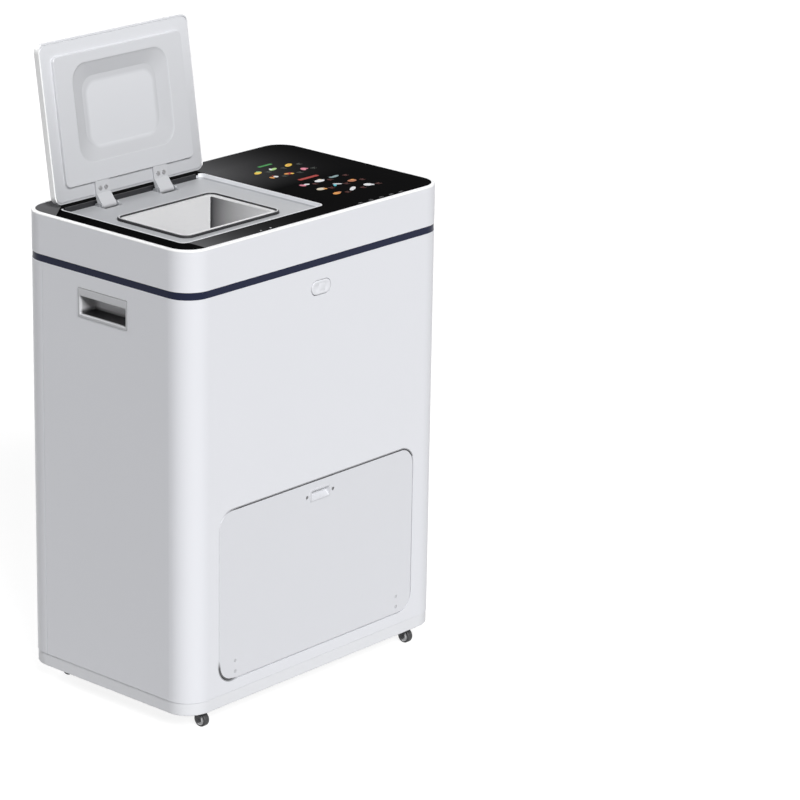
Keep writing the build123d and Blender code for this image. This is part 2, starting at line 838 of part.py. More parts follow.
with BuildPart() as lid_liner:
    with BuildSketch(lid_plane.offset(-liner_thickness)):
        lid_rectangle(
            lid_width - 2 * liner_edge, liner_edge, lid_length - liner_edge, lid_corner - liner_edge
        )
    extrude(amount=liner_thickness)
    with BuildSketch(lid_plane.offset(-liner_thickness)):
        lid_rectangle(plateau_width, plateau_low, plateau_high, lid_corner)
    extrude(amount=liner_thickness + liner_rise)
    plateau_face = lid_liner.faces().sort_by(lid_axis)[-1]
    fillet(plateau_face.edges(), 1.5)
    # Hollow behind the plateau
    with BuildSketch(lid_plane.offset(-liner_thickness)):
        hollow = liner_thickness
        lid_rectangle(
            plateau_width - 2 * hollow,
            plateau_low + hollow,
            plateau_high - hollow,
            lid_corner - hollow,
        )
    extrude(amount=liner_rise, mode=Mode.SUBTRACT)
    # Dished middle with soft sloping sides, one wall thick all over
    with BuildSketch(lid_plane.offset(liner_rise - dish_depth - liner_thickness)):
        dish_rectangle(dish_slope - liner_thickness, dish_floor_corner + liner_thickness)
    with BuildSketch(lid_plane.offset(liner_rise)):
        dish_rectangle(-liner_thickness, dish_corner + liner_thickness)
    loft()
    with BuildSketch(lid_plane.offset(liner_rise - dish_depth)):
        dish_rectangle(dish_slope, dish_floor_corner)
    with BuildSketch(lid_plane.offset(liner_rise)):
        dish_rectangle(0, dish_corner)
    loft(mode=Mode.SUBTRACT)
    # Notches that the hinge arms' ends sit in, and holes for their screws
    with BuildSketch(lid_plane):
        for arm_x in arm_xs:
            with Locations((arm_x - inlet_x, liner_border - 1)):
                Rectangle(
                    arm_width + 4 * fit_gap,
                    arm_notch + 1,
                    align=(Align.CENTER, Align.MIN),
                )
    extrude(amount=liner_rise + 1, mode=Mode.SUBTRACT)
    with BuildSketch(lid_plane.offset(-liner_thickness)):
        for arm_x in arm_xs:
            with Locations((arm_x - inlet_x, arm_reach / 2)):
                with GridLocations(lid_screw_spacing, 1, 2, 1):
                    Circle(lid_screw_radius + running_gap)
    extrude(amount=liner_thickness, mode=Mode.SUBTRACT)
finish(lid_liner.part, "lid_liner")


def arm_plane(x):
    """Plane across the lid at x, with s along it and n up out of the lid."""
    return Plane(origin=(x, edge_y, edge_z), x_dir=(0, lean_sin, lean_cos), z_dir=(1, 0, 0))


# Arms: a plate screwed to the liner and a gooseneck down to the knuckle
neck_start = Vector(3, arm_thickness / 2)
neck_end = Vector(-pivot_behind, pivot_n)
neck_side = (neck_end - neck_start).normalized().rotate(Axis.Z, 90)
with BuildPart() as lid_arms:
    for arm_x in arm_xs:
        with BuildSketch(arm_plane(arm_x - arm_width / 2)):
            Rectangle(arm_reach, arm_thickness, align=(Align.MIN, Align.MIN))
            Polygon(
                neck_start + neck_side * (arm_thickness / 2),
                neck_end + neck_side * knuckle_radius,
                neck_end - neck_side * knuckle_radius,
                neck_start - neck_side * (arm_thickness / 2),
                align=None,
            )
            with Locations(neck_end):
                Circle(knuckle_radius)
                Circle(knuckle_bore, mode=Mode.SUBTRACT)
        extrude(amount=arm_width)
        with BuildSketch(lid_plane.offset(-1)):
            with Locations((arm_x - inlet_x, arm_reach / 2)):
                with GridLocations(lid_screw_spacing, 1, 2, 1):
                    Circle(lid_screw_radius + running_gap)
        extrude(amount=arm_thickness + 2, mode=Mode.SUBTRACT)
finish(lid_arms.part, "lid_arms")

with BuildPart() as lid_screws:
    for arm_x in arm_xs:
        with BuildSketch(lid_plane.offset(-liner_thickness)):
            with Locations((arm_x - inlet_x, arm_reach / 2)):
                with GridLocations(lid_screw_spacing, 1, 2, 1):
                    Circle(lid_screw_radius)
        extrude(amount=liner_thickness + arm_thickness)
        with BuildSketch(lid_plane.offset(arm_thickness)):
            with Locations((arm_x - inlet_x, arm_reach / 2)):
                with GridLocations(lid_screw_spacing, 1, 2, 1):
                    Circle(lid_screw_head)
        extrude(amount=1.2)
        with BuildSketch(lid_plane.offset(arm_thickness + 1.2)):
            with Locations((arm_x - inlet_x, arm_reach / 2)):
                with GridLocations(lid_screw_spacing, 1, 2, 1):
                    Rectangle(3.4, 0.8)
                    Rectangle(0.8, 3.4)
        extrude(amount=-0.7, mode=Mode.SUBTRACT)
finish(lid_screws.part, "lid_screws")

# ================================================================ Handle pockets
with BuildPart() as handle_cups:
    for side in (-1, 1):
        outer = Plane.YZ.offset(side * (body_width / 2 + handle_proud))
        with BuildSketch(outer):
            with Locations((0, handle_middle)):
                RectangleRounded(handle_width, handle_height, 2)
        extrude(amount=-side * handle_proud)
        with BuildSketch(Plane.YZ.offset(side * body_width / 2)):
            with Locations((0, handle_middle)):
                Rectangle(cup_width, cup_height)
        extrude(amount=-side * handle_depth)
        # Pocket for the fingers, with a deeper upper part to hook them behind
        opening_height = handle_height - handle_top_flange - handle_low_flange
        opening_bottom = handle_middle - handle_height / 2 + handle_low_flange
        with BuildSketch(outer):
            with Locations((0, opening_bottom)):
                Rectangle(
                    cup_width - 2 * handle_wall,
                    opening_height,
                    align=(Align.CENTER, Align.MIN),
                )
        extrude(amount=-side * (handle_proud + handle_depth - handle_wall), mode=Mode.SUBTRACT)
        with BuildSketch(Plane.YZ.offset(side * (body_width / 2 - 2 * handle_wall))):
            with Locations((0, opening_bottom)):
                Rectangle(
                    cup_width - 2 * handle_wall,
                    cup_height - 2 * handle_wall - 1,
                    align=(Align.CENTER, Align.MIN),
                )
        extrude(amount=-side * (handle_depth - 3 * handle_wall), mode=Mode.SUBTRACT)
finish(handle_cups.part, "handle_cups")

# ================================================================ Inner frame
chute_hole_width = chute_width + 2 * fit_gap
chute_hole_length = chute_length + 2 * fit_gap
side_plate_x = drawer_width / 2 - side_plate_wall - 2
with BuildPart() as inner_frame:
    with BuildSketch(Plane.XY.offset(floor_top)):
        for sx in (-1, 1):
            for sy in (-1, 1):
                with Locations((sx * (post_x - post_leg / 2), sy * (post_y - post_wall / 2))):
                    Rectangle(post_leg, post_wall)
                with Locations((sx * (post_x - post_wall / 2), sy * (post_y - post_leg / 2))):
                    Rectangle(post_wall, post_leg)
    extrude(amount=shell_top - chamber_top_drop - floor_top - lap_height)
    with BuildSketch(Plane.XY.offset(shelf_underside)):
        Rectangle(2 * post_x - post_wall, 2 * post_y - post_wall)
        with Locations((chamber_x, shaft_y)):
            Rectangle(chute_hole_width, chute_hole_length, mode=Mode.SUBTRACT)
    extrude(amount=shelf_thickness)
    with BuildSketch(Plane.XY.offset(floor_top)):
        for sx in (-1, 1):
            with Locations((sx * (side_plate_x + side_plate_wall / 2), 0)):
                Rectangle(side_plate_wall, 2 * post_y - post_leg)
    extrude(amount=shelf_underside - floor_top)
    # Holes for the rear cover's screws
    with BuildSketch(Plane.XZ.offset(-post_y + post_wall + 1)):
        with Locations(*[(s * (post_x - post_leg / 2), z) for s in (-1, 1) for z in cover_screw_heights]):
            Circle(cover_screw_radius + running_gap)
    extrude(amount=-(post_wall + 2), mode=Mode.SUBTRACT)
finish(inner_frame.part, "inner_frame")

with BuildPart() as cover_screws:
    with BuildSketch(Plane.XZ.offset(-rear_y)):
        with Locations(*[(s * (post_x - post_leg / 2), z) for s in (-1, 1) for z in cover_screw_heights]):
            Circle(cover_screw_head)
    extrude(amount=-1.6)
    with BuildSketch(Plane.XZ.offset(-post_y + post_wall + 4)):
        with Locations(*[(s * (post_x - post_leg / 2), z) for s in (-1, 1) for z in cover_screw_heights]):
            Circle(cover_screw_radius)
    extrude(amount=-(rear_y - post_y + post_wall + 4))
    with BuildSketch(Plane.XZ.offset(-rear_y - 1.6)):
        with Locations(*[(s * (post_x - post_leg / 2), z) for s in (-1, 1) for z in cover_screw_heights]):
            Rectangle(4.6, 0.9)
            Rectangle(0.9, 4.6)
    extrude(amount=0.9, mode=Mode.SUBTRACT)
finish(cover_screws.part, "cover_screws")

# ================================================================ Stirring chamber
end_plate_bottom = shelf_height
with BuildPart() as chamber:
    with BuildSketch(Plane.YZ.offset(chamber_left)):
        with Locations((shaft_y, shaft_height)):
            Circle(trough_radius)
            Rectangle(2 * trough_radius, chamber_top - shaft_height, align=(Align.CENTER, Align.MIN))
    extrude(amount=chamber_length)
    # End plates that reach down to the shelf
    for end_x in (chamber_left - chamber_wall, chamber_right):
        with BuildSketch(Plane.YZ.offset(end_x)):
            with Locations((shaft_y, end_plate_bottom)):
                Rectangle(
                    2 * trough_radius,
                    chamber_top - end_plate_bottom,
                    align=(Align.CENTER, Align.MIN),
                )
        extrude(amount=chamber_wall)
    with BuildSketch(Plane.XY.offset(spout_bottom)):
        with Locations((chamber_x, shaft_y)):
            Rectangle(spout_width, spout_length)
    extrude(amount=shaft_height - spout_bottom)
    # Inside of the trough and of the spout
    with BuildSketch(Plane.YZ.offset(chamber_left)):
        with Locations((shaft_y, shaft_height)):
            Circle(chamber_radius)
            Rectangle(2 * chamber_radius, chamber_top - shaft_height, align=(Align.CENTER, Align.MIN))
    extrude(amount=chamber_length, mode=Mode.SUBTRACT)
    with BuildSketch(Plane.XY.offset(spout_bottom)):
        with Locations((chamber_x, shaft_y)):
            Rectangle(spout_width - 2 * chamber_wall, spout_length - 2 * chamber_wall)
    extrude(amount=shaft_height - spout_bottom, mode=Mode.SUBTRACT)
    with BuildSketch(Plane.YZ.offset(chamber_left - chamber_wall)):
        with Locations((shaft_y, shaft_height)):
            Circle(shaft_radius + fit_gap)
    extrude(amount=chamber_length + 2 * chamber_wall, mode=Mode.SUBTRACT)
finish(chamber.part, "chamber")

with BuildPart() as heater_pads:
    for side in (-1, 1):
        with BuildSketch(Plane.XZ.offset(-(shaft_y + side * trough_radius))):
            with Locations((chamber_x, shaft_height + heater_rise)):
                RectangleRounded(heater_length, heater_height, 6, align=(Align.CENTER, Align.MIN))
        extrude(amount=-side * heater_thickness)
finish(heater_pads.part, "heater_pads")

# ---------------------------------------------------------------- Bearings, shaft and paddles
bearing_starts = (chamber_left - chamber_wall - bearing_length, chamber_right + chamber_wall)
with BuildPart() as shaft_bearings:
    for start_x in bearing_starts:
        with BuildSketch(Plane.YZ.offset(start_x)):
            with Locations((shaft_y, shaft_height)):
                RectangleRounded(bearing_size, bearing_size, 6)
                Circle(shaft_radius + running_gap, mode=Mode.SUBTRACT)
                with GridLocations(bearing_size - 10, bearing_size - 10, 2, 2):
                    Circle(2.2, mode=Mode.SUBTRACT)
        extrude(amount=bearing_length)
finish(shaft_bearings.part, "shaft_bearings")

gear_start = chamber_right + chamber_wall + bearing_length + 1
shaft_start = bearing_starts[0] - 3
shaft_end = gear_start + gear_width + 4
with BuildPart() as stir_shaft:
    with BuildSketch(Plane.YZ.offset(shaft_start)):
        with Locations((shaft_y, shaft_height)):
            Circle(shaft_radius)
    extrude(amount=shaft_end - shaft_start)
    chamfer(stir_shaft.edges().filter_by(GeomType.CIRCLE), 1)
finish(stir_shaft.part, "stir_shaft")

paddle_pitch = chamber_length / paddle_count
with BuildPart() as stir_paddles:
    for index in range(paddle_count):
        paddle_x = chamber_left + paddle_pitch * (index + 0.5)
        angle = index * 360 / paddle_count + 18
        across = Plane(
            origin=(paddle_x, shaft_y, shaft_height),
            x_dir=(1, 0, 0),
            z_dir=(0, cos(radians(angle)), sin(radians(angle))),
        )
        with BuildSketch(Plane.YZ.offset(paddle_x - paddle_hub_length / 2)):
            with Locations((shaft_y, shaft_height)):
                Circle(shaft_radius + paddle_hub_wall)
                Circle(shaft_radius + running_gap, mode=Mode.SUBTRACT)
        extrude(amount=paddle_hub_length)
        with BuildSketch(across.offset(shaft_radius + 1)):
            Circle(paddle_rod_radius)
        extrude(amount=paddle_reach - shaft_radius - 1 - blade_height / 2)
        with BuildSketch(across.offset(paddle_reach - blade_height)):
            Rectangle(blade_width, blade_thickness, rotation=25)
        extrude(amount=blade_height)
finish(stir_paddles.part, "stir_paddles")


# ---------------------------------------------------------------- Drive gears
def gear_sketch(teeth, turn):
    """Straight-flanked gear outline, with its first tooth turned from the sketch's X axis."""
    pitch_radius = gear_module * teeth / 2
    root_radius = pitch_radius - 1.25 * gear_module
    tip_radius = pitch_radius + 0.9 * gear_module
    taper = (tooth_thickness - tooth_tip) / (tip_radius - pitch_radius)
    root_thickness = tooth_tip + taper * (tip_radius - root_radius + 1)
    Circle(root_radius)
    with PolarLocations(0, teeth, start_angle=turn):
        Polygon(
            (root_radius - 1, -root_thickness / 2),
            (tip_radius, -tooth_tip / 2),
            (tip_radius, tooth_tip / 2),
            (root_radius - 1, root_thickness / 2),
            align=None,
        )


gear_distance = gear_module * (drive_teeth + pinion_teeth) / 2
pinion_z = shaft_height - gear_distance
with BuildPart() as drive_gear:
    with BuildSketch(Plane(origin=(gear_start, shaft_y, shaft_height), x_dir=(0, 0, -1), z_dir=(1, 0, 0))):
        gear_sketch(drive_teeth, 0)
        with PolarLocations(gear_module * drive_teeth * 0.32, 6):
            Circle(gear_module * drive_teeth * 0.09, mode=Mode.SUBTRACT)
        Circle(shaft_radius + running_gap, mode=Mode.SUBTRACT)
    extrude(amount=gear_width)
finish(drive_gear.part, "drive_gear")

bracket_x = shaft_end + 3
gearbox_x = bracket_x + bracket_plate
with BuildPart() as motor_pinion:
    with BuildSketch(Plane(origin=(gear_start, shaft_y, pinion_z), x_dir=(0, 0, 1), z_dir=(1, 0, 0))):
        gear_sketch(pinion_teeth, 180 / pinion_teeth)
    extrude(amount=gear_width)
    with BuildSketch(Plane.YZ.offset(gear_start)):
        with Locations((shaft_y, pinion_z)):
            Circle(motor_shaft_radius)
    extrude(amount=gearbox_x + gearbox_length / 2 - gear_start)
finish(motor_pinion.part, "motor_pinion")

with BuildPart() as gearmotor:
    with BuildSketch(Plane.YZ.offset(gearbox_x)):
        with Locations((shaft_y, pinion_z)):
            RectangleRounded(gearbox_size, gearbox_size, 6)
    extrude(amount=gearbox_length)
    chamfer(gearmotor.faces().sort_by(Axis.X)[-1].edges(), 2)
    with BuildSketch(Plane.YZ.offset(gearbox_x + gearbox_length)):
        with Locations((shaft_y, pinion_z)):
            Circle(motor_radius)
    extrude(amount=motor_length)
    fillet(gearmotor.faces().sort_by(Axis.X)[-1].edges(), 3)
    with BuildSketch(Plane.YZ.offset(gearbox_x)):
        with Locations((shaft_y, pinion_z)):
            Circle(motor_shaft_radius + running_gap)
    extrude(amount=gearbox_length / 2 + 1, mode=Mode.SUBTRACT)
finish(gearmotor.part, "gearmotor")

with BuildPart() as motor_bracket:
    with BuildSketch(Plane.YZ.offset(bracket_x)):
        with Locations((shaft_y, shelf_height)):
            Rectangle(
                gearbox_size + 2 * bracket_border,
                pinion_z + gearbox_size / 2 + bracket_border - shelf_height,
                align=(Align.CENTER, Align.MIN),
            )
        with Locations((shaft_y, pinion_z)):
            Circle(motor_shaft_radius + 2, mode=Mode.SUBTRACT)
    extrude(amount=bracket_plate)
    with BuildSketch(Plane.XY.offset(shelf_height)):
        with Locations((bracket_x, shaft_y)):
            Rectangle(
                gearbox_length + bracket_plate,
                gearbox_size + 2 * bracket_border,
                align=(Align.MIN, Align.CENTER),
            )
    extrude(amount=bracket_plate)
finish(motor_bracket.part, "motor_bracket")

# ================================================================ Discharge
gate_top = spout_bottom - fit_gap
gate_bottom = gate_top - gate_thickness
chute_top = gate_bottom - fit_gap
chute_bottom = shelf_height - shelf_thickness - chute_below
guide_start = shaft_y - gate_length / 2 - gate_travel - 2
guide_end = shaft_y + gate_length / 2 + 2
with BuildPart() as discharge_chute:
    with BuildSketch(Plane.XY.offset(shelf_height)):
        with Locations((chamber_x, (guide_start + guide_end) / 2)):
            Rectangle(gate_width + 2 * guide_width, guide_end - guide_start)
    extrude(amount=shelf_thickness)
    with BuildSketch(Plane.XY.offset(chute_bottom)):
        with Locations((chamber_x, shaft_y)):
            Rectangle(chute_width, chute_length)
    extrude(amount=chute_top - chute_bottom)
    for side in (-1, 1):
        guide_x = chamber_x + side * (gate_width / 2 - guide_bite + guide_width / 2)
        with BuildSketch(Plane.XY.offset(shelf_height)):
            with Locations((guide_x, (guide_start + guide_end) / 2)):
                Rectangle(guide_width, guide_end - guide_start)
        extrude(amount=gate_top + fit_gap + guide_lip - shelf_height)
    with BuildSketch(Plane.XY.offset(gate_bottom - fit_gap)):
        with Locations((chamber_x, (guide_start + guide_end) / 2)):
            Rectangle(gate_width + 2 * fit_gap, guide_end - guide_start)
    extrude(amount=gate_thickness + 2 * fit_gap, mode=Mode.SUBTRACT)
    with BuildSketch(Plane.XY.offset(chute_bottom)):
        with Locations((chamber_x, shaft_y)):
            Rectangle(chute_width - 2 * chute_wall, chute_length - 2 * chute_wall)
    extrude(amount=chute_top - chute_bottom, mode=Mode.SUBTRACT)
finish(discharge_chute.part, "discharge_chute")

actuator_start = shaft_y + gate_length / 2 + 4
rod_z = (gate_top + gate_bottom) / 2
rod_length = actuator_length - 10
with BuildPart() as discharge_gate:
    with BuildSketch(Plane.XY.offset(gate_bottom)):
        with Locations((chamber_x, shaft_y)):
            RectangleRounded(gate_width, gate_length, 2)
    extrude(amount=gate_thickness)
    with BuildSketch(Plane.XZ.offset(-(shaft_y + gate_length / 2 - 3))):
        with Locations((chamber_x, rod_z)):
            Circle(actuator_rod_radius)
    extrude(amount=-(rod_length + 3))
finish(discharge_gate.part, "discharge_gate")

with BuildPart() as gate_actuator:
    with BuildSketch(Plane.XZ.offset(-actuator_start)):
        with Locations((chamber_x, rod_z)):
            Circle(actuator_radius)
    extrude(amount=-actuator_length)
    # Two saddles that stand on the shelf
    for saddle_y in (actuator_start + saddle_inset, actuator_start + actuator_length - saddle_inset):
        with BuildSketch(Plane.XY.offset(shelf_height)):
            with Locations((chamber_x, saddle_y)):
                Rectangle(2 * actuator_radius + saddle_length + 2, saddle_length)
        extrude(amount=rod_z - shelf_height)
    with BuildSketch(Plane.XZ.offset(-actuator_start)):
        with Locations((chamber_x, rod_z)):
            Circle(actuator_rod_radius + 2 * running_gap)
    extrude(amount=-(actuator_length - actuator_wall), mode=Mode.SUBTRACT)
finish(gate_actuator.part, "gate_actuator")

# ================================================================ Drawer
drawer_back = front_y + front_thickness
low_screws = [
    (side * low_screw_side, low_screw_height + drop)
    for side in (-1, 1)
    for drop in (0, low_screw_rise)
]
pull_screws = [(pull_shift + side * pull_screw_spacing / 2, pull_height) for side in (-1, 1)]
with BuildPart() as drawer_front:
    with BuildSketch(Plane.XZ.offset(-front_y)):
        with Locations((0, drawer_middle)):
            RectangleRounded(drawer_width, drawer_height, drawer_corner)
    extrude(amount=-front_thickness)
    fillet(drawer_front.faces().sort_by(Axis.Y)[0].edges(), 1)
    with BuildSketch(Plane.XZ.offset(-(front_y + front_face))):
        with Locations((0, drawer_middle)):
            RectangleRounded(
                drawer_width - 2 * front_lip,
                drawer_height - 2 * front_lip,
                drawer_corner - front_lip,
            )
    extrude(amount=-(front_thickness - front_face), mode=Mode.SUBTRACT)
    # Bosses for the screws that hold the bin
    with BuildSketch(Plane.XZ.offset(-(front_y + front_face))):
        with Locations(*low_screws, *pull_screws):
            Circle(drawer_screw_head + 1.5)
    extrude(amount=-(front_thickness - front_face))
    with BuildSketch(Plane.XZ.offset(-front_y + 1)):
        with Locations(*low_screws, *pull_screws):
            Circle(drawer_screw_radius + running_gap)
    extrude(amount=-(front_thickness + 2), mode=Mode.SUBTRACT)
    with BuildSketch(Plane.XZ.offset(-front_y)):
        with Locations(*low_screws, *pull_screws):
            Circle(drawer_screw_head + fit_gap)
    extrude(amount=-1, mode=Mode.SUBTRACT)
    with BuildSketch(Plane.XZ.offset(-front_y + 1)):
        with Locations((pull_shift, pull_height)):
            Rectangle(pull_width + 2 * fit_gap, pull_tall + 2 * fit_gap)
    extrude(amount=-(front_face + 2), mode=Mode.SUBTRACT)
finish(drawer_front.part, "drawer_front")

with BuildPart() as drawer_pull:
    with BuildSketch(Plane.XZ.offset(-front_y)):
        with Locations((pull_shift, pull_height)):
            RectangleRounded(pull_width + 2 * pull_flange, pull_tall + 2 * pull_flange, 2)
    extrude(amount=0.6)
    with BuildSketch(Plane.XZ.offset(-front_y)):
        with Locations((pull_shift, pull_height)):
            Rectangle(pull_width, pull_tall)
    extrude(amount=-pull_depth)
    with BuildSketch(Plane.XZ.offset(-front_y + 0.6)):
        with Locations((pull_shift, pull_height - pull_tall / 2 + pull_wall)):
            Rectangle(
                pull_width - 2 * pull_wall,
                pull_tall - 2 * pull_wall - 3,
                align=(Align.CENTER, Align.MIN),
            )
    extrude(amount=-(pull_depth + 0.6 - pull_wall), mode=Mode.SUBTRACT)
    with BuildSketch(Plane.XZ.offset(-front_y - 1.5)):
        with Locations((pull_shift, pull_height)):
            Rectangle(pull_width - 2 * pull_wall, pull_tall - 2 * pull_wall)
    extrude(amount=-(pull_depth - 1.5 - pull_wall), mode=Mode.SUBTRACT)
finish(drawer_pull.part, "drawer_pull")

bin_bottom = drawer_bottom + bin_lower_gap
bin_height = drawer_height - bin_lower_gap - bin_upper_gap
bin_y = drawer_back + bin_length / 2
with BuildPart() as drawer_bin:
    with BuildSketch(Plane.XY.offset(bin_bottom)):
        with Locations((0, bin_y)):
            Rectangle(bin_width, bin_length)
    extrude(amount=bin_height)
    fillet(drawer_bin.edges().filter_by(Axis.Z), bin_corner)
    with BuildSketch(Plane.XY.offset(bin_bottom + bin_wall)):
        with Locations((0, bin_y)):
            RectangleRounded(bin_width - 2 * bin_wall, bin_length - 2 * bin_wall, bin_corner - bin_wall)
    extrude(amount=bin_height, mode=Mode.SUBTRACT)
    with BuildSketch(Plane.XZ.offset(-drawer_back + 1)):
        with Locations(*pull_screws):
            Circle(drawer_screw_radius + running_gap)
    extrude(amount=-(bin_wall + 2), mode=Mode.SUBTRACT)
    # Ears low on the bin's front that the lower screws reach
    with BuildSketch(Plane.XZ.offset(-drawer_back)):
        with Locations(*[(s * low_screw_side, low_screw_height + low_screw_rise / 2) for s in (-1, 1)]):
            Rectangle(ear_width, low_screw_rise + 2 * ear_border)
    extrude(amount=-bin_corner)
    with BuildSketch(Plane.XZ.offset(-drawer_back + 1)):
        with Locations(*low_screws):
            Circle(drawer_screw_radius + running_gap)
    extrude(amount=-bin_corner, mode=Mode.SUBTRACT)
finish(drawer_bin.part, "drawer_bin")

with BuildPart() as drawer_screws:
    with BuildSketch(Plane.XZ.offset(-(front_y + 1))):
        with Locations(*low_screws, *pull_screws):
            Circle(drawer_screw_head)
    extrude(amount=0.7)
    with BuildSketch(Plane.XZ.offset(-(front_y + 1))):
        with Locations(*low_screws, *pull_screws):
            Circle(drawer_screw_radius)
    extrude(amount=-(front_thickness + bin_wall - 1))
finish(drawer_screws.part, "drawer_screws")

runner_z = rail_height + rail_wall + fit_gap
runner_gap_x = side_plate_x - bin_width / 2
with BuildPart() as drawer_runners:
    for side in (-1, 1):
        with BuildSketch(Plane.XZ.offset(-(drawer_back + 4))):
            with Locations((side * bin_width / 2, runner_z)):
                Rectangle(
                    runner_gap_x - rail_wall - fit_gap,
                    runner_height,
                    align=(Align.MIN if side > 0 else Align.MAX, Align.MIN),
                )
            with Locations((side * (bin_width / 2 + 2 * rail_wall), runner_z + rail_wall)):
                Rectangle(
                    runner_gap_x,
                    runner_height - 2 * rail_wall,
                    align=(Align.MIN if side > 0 else Align.MAX, Align.MIN),
                    mode=Mode.SUBTRACT,
                )
        extrude(amount=-runner_length)
finish(drawer_runners.part, "drawer_runners")

rail_outer_height = runner_height + 2 * (rail_wall + fit_gap)
with BuildPart() as drawer_rails:
    for side in (-1, 1):
        with BuildSketch(Plane.XZ.offset(-(drawer_back + 6))):
            with Locations((side * side_plate_x, rail_height)):
                Rectangle(
                    runner_gap_x - 4,
                    rail_outer_height,
                    align=(Align.MAX if side > 0 else Align.MIN, Align.MIN),
                )
            with Locations((side * (side_plate_x - rail_wall), rail_height + rail_wall)):
                Rectangle(
                    runner_gap_x,
                    rail_outer_height - 2 * rail_wall,
                    align=(Align.MAX if side > 0 else Align.MIN, Align.MIN),
                    mode=Mode.SUBTRACT,
                )
        extrude(amount=-(runner_length + 10))
finish(drawer_rails.part, "drawer_rails")

# ================================================================ Front button
cup_front = -inner_half_depth
cup_back = cup_front + button_cup_depth
with BuildPart() as button_housing:
    with BuildSketch(Plane.XZ.offset(-cup_front)):
        with Locations((0, button_middle)):
            SlotOverall(button_width + 8, button_height + 8)
    extrude(amount=-button_cup_depth)
    with BuildSketch(Plane.XZ.offset(-cup_front)):
        with Locations((0, button_middle)):
            SlotOverall(button_width + 2 * fit_gap, button_height + 2 * fit_gap)
    extrude(amount=-(button_cup_depth - button_cup_wall), mode=Mode.SUBTRACT)
    with BuildSketch(Plane.XZ.offset(-cup_back)):
        with Locations((0, button_middle)):
            Circle(button_stem_radius + 2 * running_gap)
    extrude(amount=button_cup_wall, mode=Mode.SUBTRACT)
finish(button_housing.part, "button_housing")

button_front = front_y - button_proud
button_back = button_front + button_thickness
with BuildPart() as front_button:
    with BuildSketch(Plane.XZ.offset(-button_front)):
        with Locations((0, button_middle)):
            SlotOverall(button_width, button_height)
    extrude(amount=-button_thickness)
    fillet(front_button.faces().sort_by(Axis.Y)[0].edges(), 0.8)
    with BuildSketch(Plane.XZ.offset(-button_back)):
        with Locations((0, button_middle)):
            Circle(button_stem_radius)
    extrude(amount=-(cup_back - button_back - button_travel / 2))
finish(front_button.part, "front_button")

# Spring between the button's back and the housing, with room for the travel
spring_start = button_back + spring_wire + fit_gap / 3
spring_end = cup_back - button_cup_wall - spring_wire - fit_gap / 3
with BuildPart() as button_spring:
    with BuildLine():
        coil = Helix(
            pitch=(spring_end - spring_start) / spring_turns,
            height=spring_end - spring_start,
            radius=spring_radius,
            center=(0, spring_start, button_middle),
            direction=(0, 1, 0),
        )
    with BuildSketch(Plane(origin=coil @ 0, z_dir=coil % 0)):
        Circle(spring_wire)
    sweep(path=coil, is_frenet=True)
finish(button_spring.part, "button_spring")

# ================================================================ Air path
with BuildPart() as exhaust_duct:
    with BuildLine() as duct_line:
        FilletPolyline(
            (duct_x, duct_y, cover_top),
            (duct_x, duct_y, duct_height),
            (fan_x, duct_y, duct_height),
            (fan_x, duct_y, fan_bottom + fan_height),
            radius=duct_bend,
        )
    with BuildSketch(Plane.XY.offset(cover_top)):
        with Locations((duct_x, duct_y)):
            Circle(duct_radius)
            Circle(duct_radius - duct_wall, mode=Mode.SUBTRACT)
    sweep(path=duct_line.line)
finish(exhaust_duct.part, "exhaust_duct")

with BuildPart() as fan_housing:
    with BuildSketch(Plane.XY.offset(fan_bottom)):
        with Locations((fan_x, fan_y)):
            RectangleRounded(fan_size, fan_size, 5)
            Circle(fan_bore, mode=Mode.SUBTRACT)
    extrude(amount=fan_height)
    # Motor seat on four arms, with the post that the rotor turns on
    with BuildSketch(Plane.XY.offset(fan_bottom)):
        with Locations((fan_x, fan_y)):
            Circle(fan_hub)
            Rectangle(2 * fan_bore + 2, 5)
            Rectangle(5, 2 * fan_bore + 2)
    extrude(amount=fan_wall)
    with BuildSketch(Plane.XY.offset(fan_bottom + fan_wall)):
        with Locations((fan_x, fan_y)):
            Circle(fan_post_radius)
    extrude(amount=fan_height - 2 * fan_wall - 2)
    # Top plate that the duct seats on
    with BuildSketch(Plane.XY.offset(fan_bottom + fan_height - fan_wall)):
        with Locations((fan_x, fan_y)):
            Circle(fan_bore + 1)
            Circle(duct_radius - duct_wall, mode=Mode.SUBTRACT)
    extrude(amount=fan_wall)
finish(fan_housing.part, "fan_housing")

rotor_bottom = fan_bottom + fan_wall + 2 * fit_gap
rotor_height = fan_height - 2 * fan_wall - 4 * fit_gap
with BuildPart() as fan_rotor:
    with BuildSketch(Plane.XY.offset(rotor_bottom)):
        with Locations((fan_x, fan_y)):
            Circle(fan_hub)
    extrude(amount=rotor_height)
    for index in range(fan_blades):
        angle = radians(index * 360 / fan_blades)
        blade_plane = Plane(
            origin=(fan_x, fan_y, rotor_bottom + rotor_height / 2),
            x_dir=(-sin(angle) * 0.8, cos(angle) * 0.8, 0.6),
            z_dir=(cos(angle), sin(angle), 0),
        )
        with BuildSketch(blade_plane.offset(fan_hub - 1)):
            Rectangle(rotor_height * 1.3, 1.6)
        extrude(amount=fan_tip - fan_hub)
    with BuildSketch(Plane.XY.offset(rotor_bottom)):
        with Locations((fan_x, fan_y)):
            Circle(fan_post_radius + running_gap)
    extrude(amount=rotor_height, mode=Mode.SUBTRACT)
finish(fan_rotor.part, "fan_rotor")

